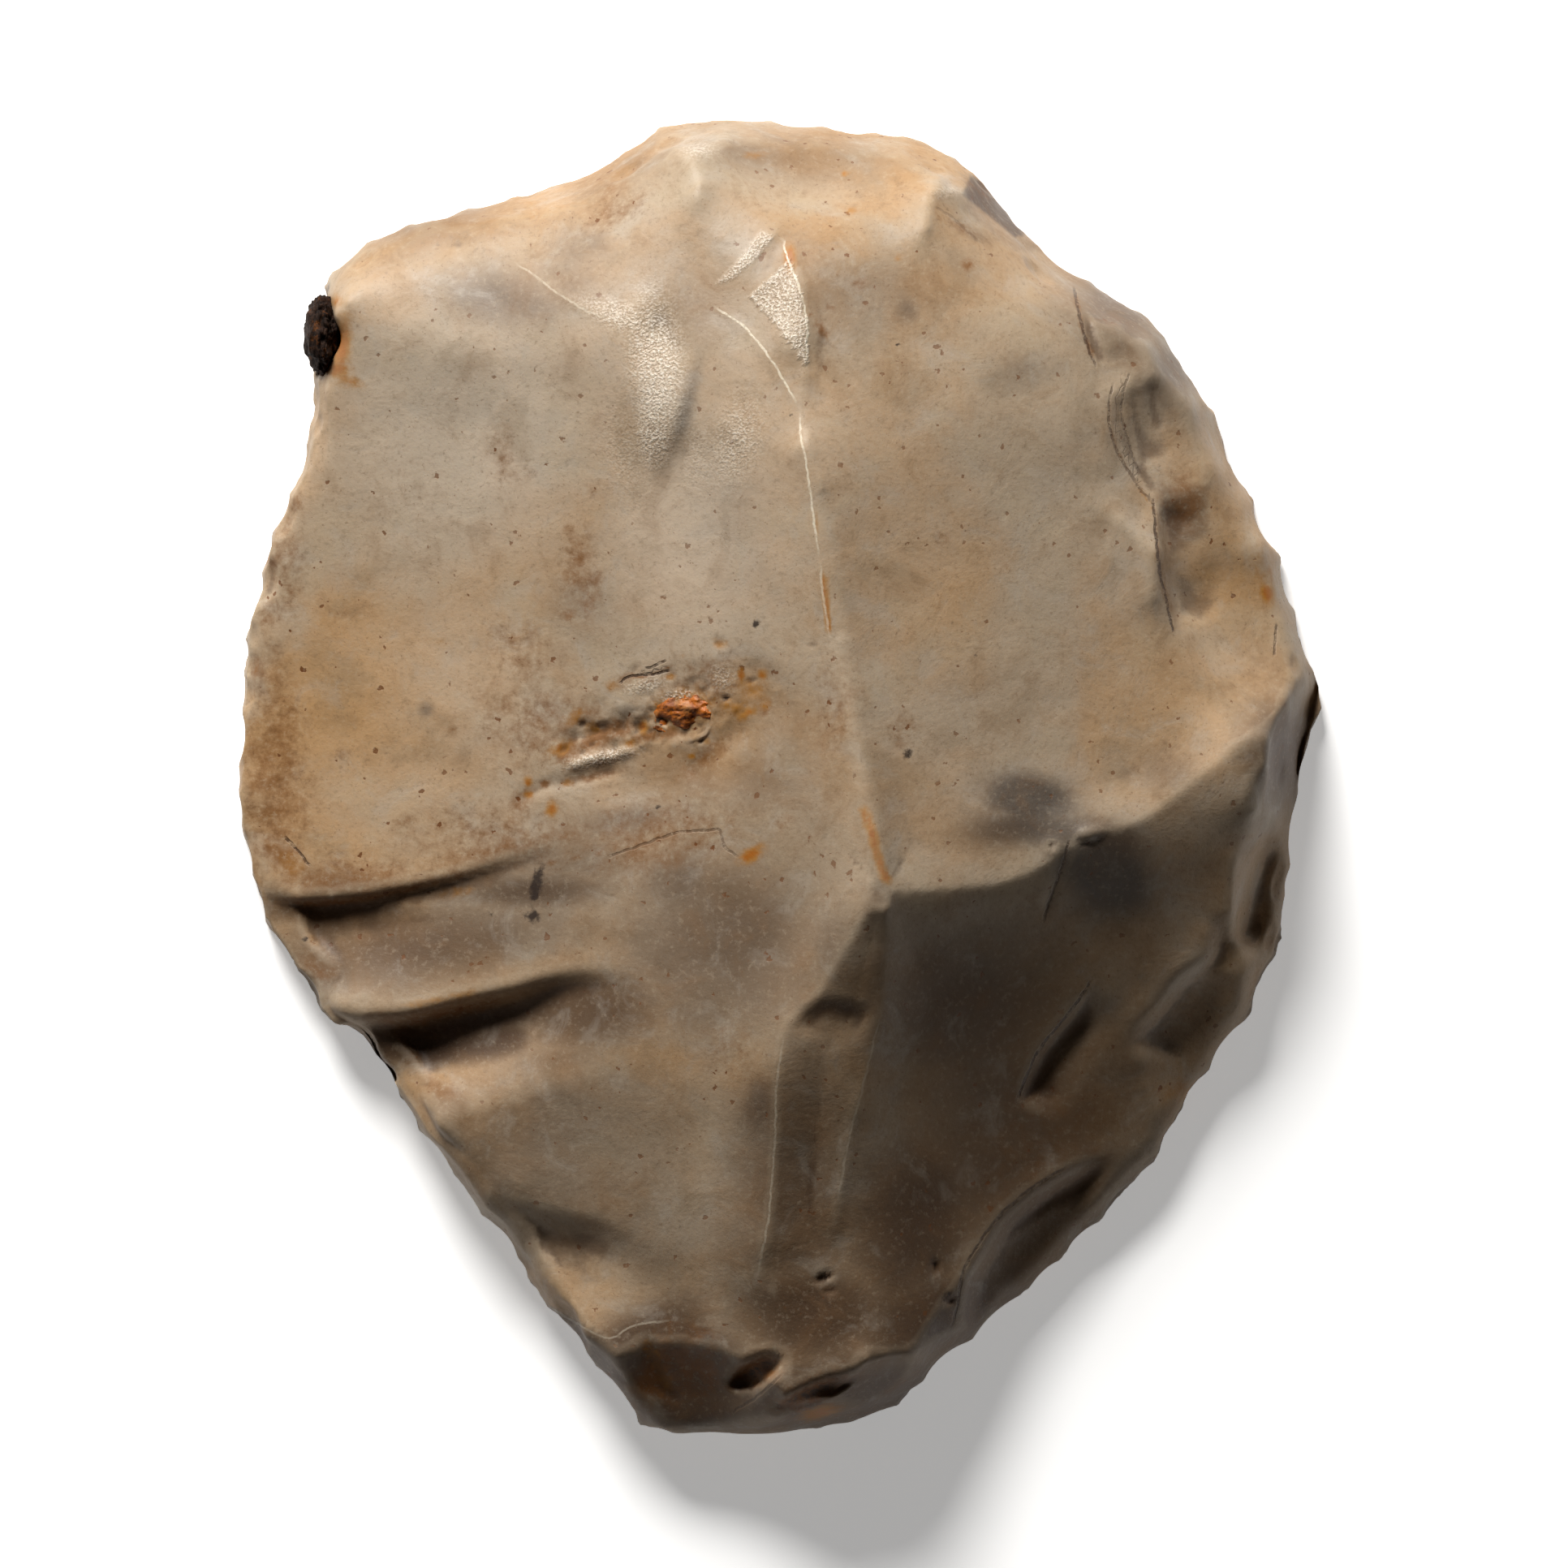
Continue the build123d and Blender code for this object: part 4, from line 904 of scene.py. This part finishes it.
# Crevice colour: soil and painted shade in the hollows.
tone = blend(tree, span(tree, ragged_mask("crevice_soil_and_painted_shade", 0.5, 0.9), 0.2, 1.0, 0.0, 0.55), tone, paint(78, 52, 30))
tone = blend(tree, span(tree, mask["arris"], 0.35, 1.0, 0.0, 0.18), tone, paint(204, 186, 160))
tone = blend(tree, span(tree, ragged_mask("black", 0.35, 1.5), 0.35, 0.85, 0.0, 0.90), tone, paint(40, 26, 20))


def hair_line(name, width):
    """Where a hair line runs: nought off it, its strength on it, broken up by the grain of the stone."""
    gap = node(tree, "ShaderNodeAttribute", attribute_name=name + "_gap").outputs["Fac"]
    wander = sum_of(tree, "MULTIPLY", sum_of(tree, "SUBTRACT", grain(tree, where, 0.5, 3.0), 0.5), 0.22)
    gap = sum_of(tree, "ABSOLUTE", sum_of(tree, "ADD", gap, wander), 0.0)
    line = sum_of(tree, "MULTIPLY", span(tree, gap, width, width * 0.4), mask[name])
    return sum_of(tree, "MULTIPLY", line, span(tree, fine_grain, 0.36, 0.52, 0.35, 1.0))


painted_glint, crack = hair_line("painted_glint", 0.07), hair_line("crack", 0.09)
tone = blend(tree, sum_of(tree, "MULTIPLY", crack, 0.85), tone, paint(58, 34, 16))
# Painted highlight: near-white glint lines along the arrises.
tone = blend(tree, sum_of(tree, "MULTIPLY", painted_glint, 0.9), tone, paint(250, 238, 214))
gloss_and_painted_sparkle = span(tree, mask["polish_and_painted_sparkle"], 0.0, 0.9)
sparkle = grain(tree, where, 0.12, 3.0, 0.5)
# Painted highlights: near-white sparkle specks over the polish, and darker painted specks between them.
tone = blend(tree, sum_of(tree, "MULTIPLY", span(tree, sparkle, 0.44, 0.66, 0.12, 0.80), gloss_and_painted_sparkle), tone, paint(252, 240, 222))
tone = blend(tree, sum_of(tree, "MULTIPLY", span(tree, sparkle, 0.44, 0.34, 0.0, 0.16), gloss_and_painted_sparkle), tone, paint(128, 112, 94))
tree.links.new(tone, surface.inputs["Base Color"])

rough = sum_of(tree, "SUBTRACT", span(tree, mottle, 0.3, 0.7, 0.50, 0.60), sum_of(tree, "MULTIPLY", gloss_and_painted_sparkle, 0.32))
rough = sum_of(tree, "SUBTRACT", rough, sum_of(tree, "MULTIPLY", painted_glint, 0.15))
rough = sum_of(tree, "ADD", rough, sum_of(tree, "MULTIPLY", mask["soil"], 0.18), True)
tree.links.new(rough, surface.inputs["Roughness"])
relief = sum_of(tree, "MULTIPLY", skin_node.outputs["Tooth"], 0.45)
relief = sum_of(tree, "ADD", relief, sum_of(tree, "MULTIPLY", sparkle, sum_of(tree, "MULTIPLY", gloss_and_painted_sparkle, 1.7)))
relief = sum_of(tree, "SUBTRACT", relief, sum_of(tree, "MULTIPLY", skin_node.outputs["Freckles"], 0.10))
relief = sum_of(tree, "ADD", relief, sum_of(tree, "MULTIPLY", mottle, 0.8))
relief = sum_of(tree, "SUBTRACT", relief, sum_of(tree, "MULTIPLY", crack, 0.8))
bump = node(tree, "ShaderNodeBump", in_Strength=0.9, in_Distance=0.00006)
tree.links.new(relief, bump.inputs["Height"])
tree.links.new(bump.outputs["Normal"], surface.inputs["Normal"])
surface.inputs["Specular IOR Level"].default_value = 0.4
surface.inputs["IOR"].default_value = 1.54
surface.inputs["Subsurface Weight"].default_value = 0.12
surface.inputs["Subsurface Radius"].default_value = (1.0, 0.7, 0.45)
surface.inputs["Subsurface Scale"].default_value = 0.0008
stone.data.materials.clear()
stone.data.materials.append(flint)
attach(stone, "root")
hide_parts("flint_flake")


# ---- The crust ----
# A scrap of the nodule's dark rind, left in a nick at the upper left of the edge.
# It is a gritty, almost black crust of manganese and chalky soil, grown onto the flint.

def grown(node_name, name, grain_size, lump, lump_size, seed):
    """A rough lump in the place of a plug of the solid model."""
    shape = shape_copy(node_name)
    piece = as_object(shape, name)
    shape.free()
    even_mesh(piece, grain_size * MM)
    low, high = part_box(node_name)
    shift = Vector((seed, seed * 2.0, 0.0))
    for vert in piece.data.vertices:
        place = vert.co / MM
        push = lump * noise.fractal(place / lump_size + shift, 0.9, 2.2, 4)
        vert.co += vert.normal * push * MM
    for polygon in piece.data.polygons:
        polygon.use_smooth = True
    return piece


crust = grown("cortex_crust", "dark_crust", 0.07, 0.0, 0.45, 3.0)
low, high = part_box("cortex_crust")
middle_of_crust = Vector([(a + b) / 2 for a, b in zip(low, high)])
crust_heart = Vector((-21.55, 20.85, 3.2)) * MM
CRUST_HALVES = (0.78, 1.75, 2.0)
for vert in crust.data.vertices:
    way = (vert.co - middle_of_crust) / MM
    out = math.sqrt(sum((step / half) ** 2 for step, half in zip(way, (0.77, 1.77, 2.0))))
    way = Vector([step / max(out, 0.1) * whole / half for step, half, whole in zip(way, (0.77, 1.77, 2.0), CRUST_HALVES)])
    lump = 1.0 + 0.22 * noise.fractal(way / 0.55, 0.9, 2.1, 4) + 0.08 * noise.noise(way / 0.16)
    vert.co = crust_heart + way * lump * MM
rind = bpy.data.materials.new("manganese_rind")
rind.use_nodes = True
tree = rind.node_tree
surface = tree.nodes["Principled BSDF"]
where = node(tree, "ShaderNodeTexCoord").outputs["Object"]
skin_node = node(tree, "ShaderNodeGroup", node_tree=skin)
tree.links.new(where, skin_node.inputs["Place"])
grit = grain(tree, where, 0.22, 4.0, 0.7)
tone = blend(tree, span(tree, grit, 0.35, 0.7), paint(20, 11, 7), paint(56, 34, 20))
tone = blend(tree, span(tree, grain(tree, where, 0.5, 3.0), 0.56, 0.70, 0.0, 0.8), tone, paint(104, 60, 24))
tree.links.new(tone, surface.inputs["Base Color"])
tree.links.new(span(tree, grit, 0.3, 0.7, 0.9, 0.65), surface.inputs["Roughness"])
bump = node(tree, "ShaderNodeBump", in_Strength=0.9, in_Distance=0.0001)
tree.links.new(sum_of(tree, "ADD", grit, skin_node.outputs["Tooth"]), bump.inputs["Height"])
tree.links.new(bump.outputs["Normal"], surface.inputs["Normal"])
surface.inputs["Specular IOR Level"].default_value = 0.2
crust.data.materials.clear()
crust.data.materials.append(rind)
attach(crust, "root")
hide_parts("cortex_crust")


# ---- The rusty deposit ----
# Iron oxide that filled the small hollow in the middle of the left face.
# It is a shiny, blistered orange-brown lump with darker pores, grown onto the flint.

deposit = grown("iron_oxide_infill", "rusty_deposit", 0.06, 0.0, 0.35, 9.0)
stone_shape = bmesh.new()
stone_shape.from_mesh(stone.data)
stone_skin = BVHTree.FromBMesh(stone_shape)
stone_shape.free()
low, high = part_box("iron_oxide_infill")
heart = Vector(((low[0] + high[0]) / 2, (low[1] + high[1]) / 2, 0.0))
reach = (high[0] - low[0]) / 2
lump_x, lump_y = (-4.5, 3.1)
LUMP_LONG, LUMP_WIDE, LUMP_TURN = 1.75, 1.05, math.radians(12)
for vert in deposit.data.vertices:
    across = (vert.co - heart) / reach
    upper = min(1.0, max(0.0, (vert.co.z - low[2]) / (high[2] - low[2]) * 3.0 - 0.8))
    far = min(1.0, math.hypot(across.x, across.y))
    along, aside = across.x * LUMP_LONG, across.y * LUMP_WIDE
    x = lump_x + along * math.cos(LUMP_TURN) - aside * math.sin(LUMP_TURN)
    y = lump_y + along * math.sin(LUMP_TURN) + aside * math.cos(LUMP_TURN)
    hit = stone_skin.ray_cast(Vector((x * MM, y * MM, 0.03)), Vector((0, 0, -1)))[0]
    fold = noise.fractal(Vector((x, y * 1.6, 1.0)) / 0.9, 0.7, 2.1, 4)
    pore = math.exp(-(((x + 5.42) / 0.26) ** 2 + ((y - 2.60) / 0.17) ** 2))
    height = 0.18 - 0.34 * far ** 2 + 0.17 * fold - 0.40 * pore
    skin_place = Vector((x * MM, y * MM, hit.z + height * MM))
    vert.co = vert.co.lerp(skin_place, upper)
rust = bpy.data.materials.new("iron_oxide")
rust.use_nodes = True
tree = rust.node_tree
surface = tree.nodes["Principled BSDF"]
where = node(tree, "ShaderNodeTexCoord").outputs["Object"]
skin_node = node(tree, "ShaderNodeGroup", node_tree=skin)
tree.links.new(where, skin_node.inputs["Place"])
pores = grain(tree, where, 0.55, 4.0, 0.6, 0.5)
tone = blend(tree, span(tree, pores, 0.36, 0.62), paint(128, 66, 12), paint(196, 108, 26))
tone = blend(tree, span(tree, grain(tree, where, 0.8, 3.0), 0.52, 0.66, 0.0, 0.6), tone, paint(176, 124, 72))
tone = blend(tree, span(tree, grain(tree, where, 0.3, 3.0), 0.58, 0.70, 0.0, 0.9), tone, paint(70, 32, 10))
tree.links.new(tone, surface.inputs["Base Color"])
surface.inputs["Subsurface Weight"].default_value = 0.1
surface.inputs["Subsurface Radius"].default_value = (1.0, 0.4, 0.15)
surface.inputs["Subsurface Scale"].default_value = 0.0004
tree.links.new(span(tree, pores, 0.3, 0.7, 0.62, 0.42), surface.inputs["Roughness"])
bump = node(tree, "ShaderNodeBump", in_Strength=0.8, in_Distance=0.0001)
tree.links.new(sum_of(tree, "ADD", pores, skin_node.outputs["Tooth"]), bump.inputs["Height"])
tree.links.new(bump.outputs["Normal"], surface.inputs["Normal"])
deposit.data.materials.clear()
deposit.data.materials.append(rust)
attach(deposit, "root")
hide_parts("iron_oxide_infill")


# ---- The table ----
# A plain white sheet that the flake lies on. It keeps the flake's soft shadow.

sheet = bmesh.new()
bmesh.ops.create_grid(sheet, x_segments=1, y_segments=1, size=1.5)
table = as_object(sheet, "table_top")
sheet.free()
paper = bpy.data.materials.new("white_paper")
paper.use_nodes = True
tree = paper.node_tree
tree.nodes.clear()
out = node(tree, "ShaderNodeOutputMaterial")
matt = node(tree, "ShaderNodeBsdfDiffuse", in_Color=(0.7, 0.7, 0.7, 1.0))
bright = node(tree, "ShaderNodeBsdfDiffuse", in_Color=(1.5, 1.5, 1.5, 1.0))
glow = node(tree, "ShaderNodeEmission", in_Color=(1.0, 1.0, 1.0, 1.0), in_Strength=0.36)
seen = node(tree, "ShaderNodeLightPath")
lifted = node(tree, "ShaderNodeAddShader")
either = node(tree, "ShaderNodeMixShader")
tree.links.new(bright.outputs[0], lifted.inputs[0])
tree.links.new(glow.outputs[0], lifted.inputs[1])
in_sight = sum_of(tree, "ADD", seen.outputs["Is Glossy Ray"], seen.outputs["Is Transmission Ray"], True)
in_sight = sum_of(tree, "ADD", seen.outputs["Is Camera Ray"], in_sight, True)
tree.links.new(in_sight, either.inputs[0])
tree.links.new(matt.outputs[0], either.inputs[1])
tree.links.new(lifted.outputs[0], either.inputs[2])
tree.links.new(either.outputs[0], out.inputs["Surface"])
table.data.materials.append(paper)


# ---- Light and camera ----
# One soft lamp low at the upper left, a weak even fill from the room, and a camera
# looking straight down from above, as in a plate of finds.

TOP = 8.0 * MM
LAMP_TURN, LAMP_RISE = math.radians(107), math.radians(29)
LAMP_FAR, LAMP_SIZE, LAMP_POWER = 0.70, 0.32, 7.1
lamp_light = bpy.data.lights.new("soft_lamp", "AREA")
lamp_light.shape = "DISK"
lamp_light.size = LAMP_SIZE
lamp_light.energy = LAMP_POWER
lamp_light.color = (1.0, 0.985, 0.96)
lamp = bpy.data.objects.new("soft_lamp", lamp_light)
bpy.context.scene.collection.objects.link(lamp)
lamp_way = Vector((math.cos(LAMP_RISE) * math.cos(LAMP_TURN), math.cos(LAMP_RISE) * math.sin(LAMP_TURN), math.sin(LAMP_RISE)))
lamp.location = Vector((0.0, 0.0, TOP)) + lamp_way * LAMP_FAR
lamp.rotation_euler = lamp_way.to_track_quat("Z", "Y").to_euler()

room = bpy.data.worlds.new("room")
bpy.context.scene.world = room
room.use_nodes = True
tree = room.node_tree
tree.nodes.clear()
out = node(tree, "ShaderNodeOutputWorld")
fill = node(tree, "ShaderNodeBackground", in_Color=(1.0, 0.86, 0.70, 1.0), in_Strength=0.022)
white = node(tree, "ShaderNodeBackground", in_Color=(1.0, 1.0, 1.0, 1.0), in_Strength=1.0)
seen = node(tree, "ShaderNodeLightPath")
either = node(tree, "ShaderNodeMixShader")
way = node(tree, "ShaderNodeSeparateXYZ")
tree.links.new(node(tree, "ShaderNodeTexCoord").outputs["Generated"], way.inputs[0])
mirrored = sum_of(tree, "ADD", seen.outputs["Is Glossy Ray"], seen.outputs["Is Transmission Ray"], True)
mirrored = sum_of(tree, "MULTIPLY", mirrored, span(tree, way.outputs["Z"], 0.25, 0.03))
tree.links.new(sum_of(tree, "ADD", seen.outputs["Is Camera Ray"], mirrored, True), either.inputs[0])
tree.links.new(fill.outputs[0], either.inputs[1])
tree.links.new(white.outputs[0], either.inputs[2])
tree.links.new(either.outputs[0], out.inputs["Surface"])

FRAME_WIDTH = 73.77 * MM
CAMERA_HEIGHT = 2.0
camera_data = bpy.data.cameras.new("overhead")
camera_data.sensor_width = 36.0
camera_data.lens = 36.0 * (CAMERA_HEIGHT - 5.0 * MM) / FRAME_WIDTH
camera_data.clip_start = 0.01
camera_data.clip_end = 10.0
camera = bpy.data.objects.new("overhead", camera_data)
camera.location = (0.23 * MM, -0.31 * MM, CAMERA_HEIGHT)
bpy.context.scene.collection.objects.link(camera)
bpy.context.scene.camera = camera
bpy.context.scene.view_settings.view_transform = "Standard"
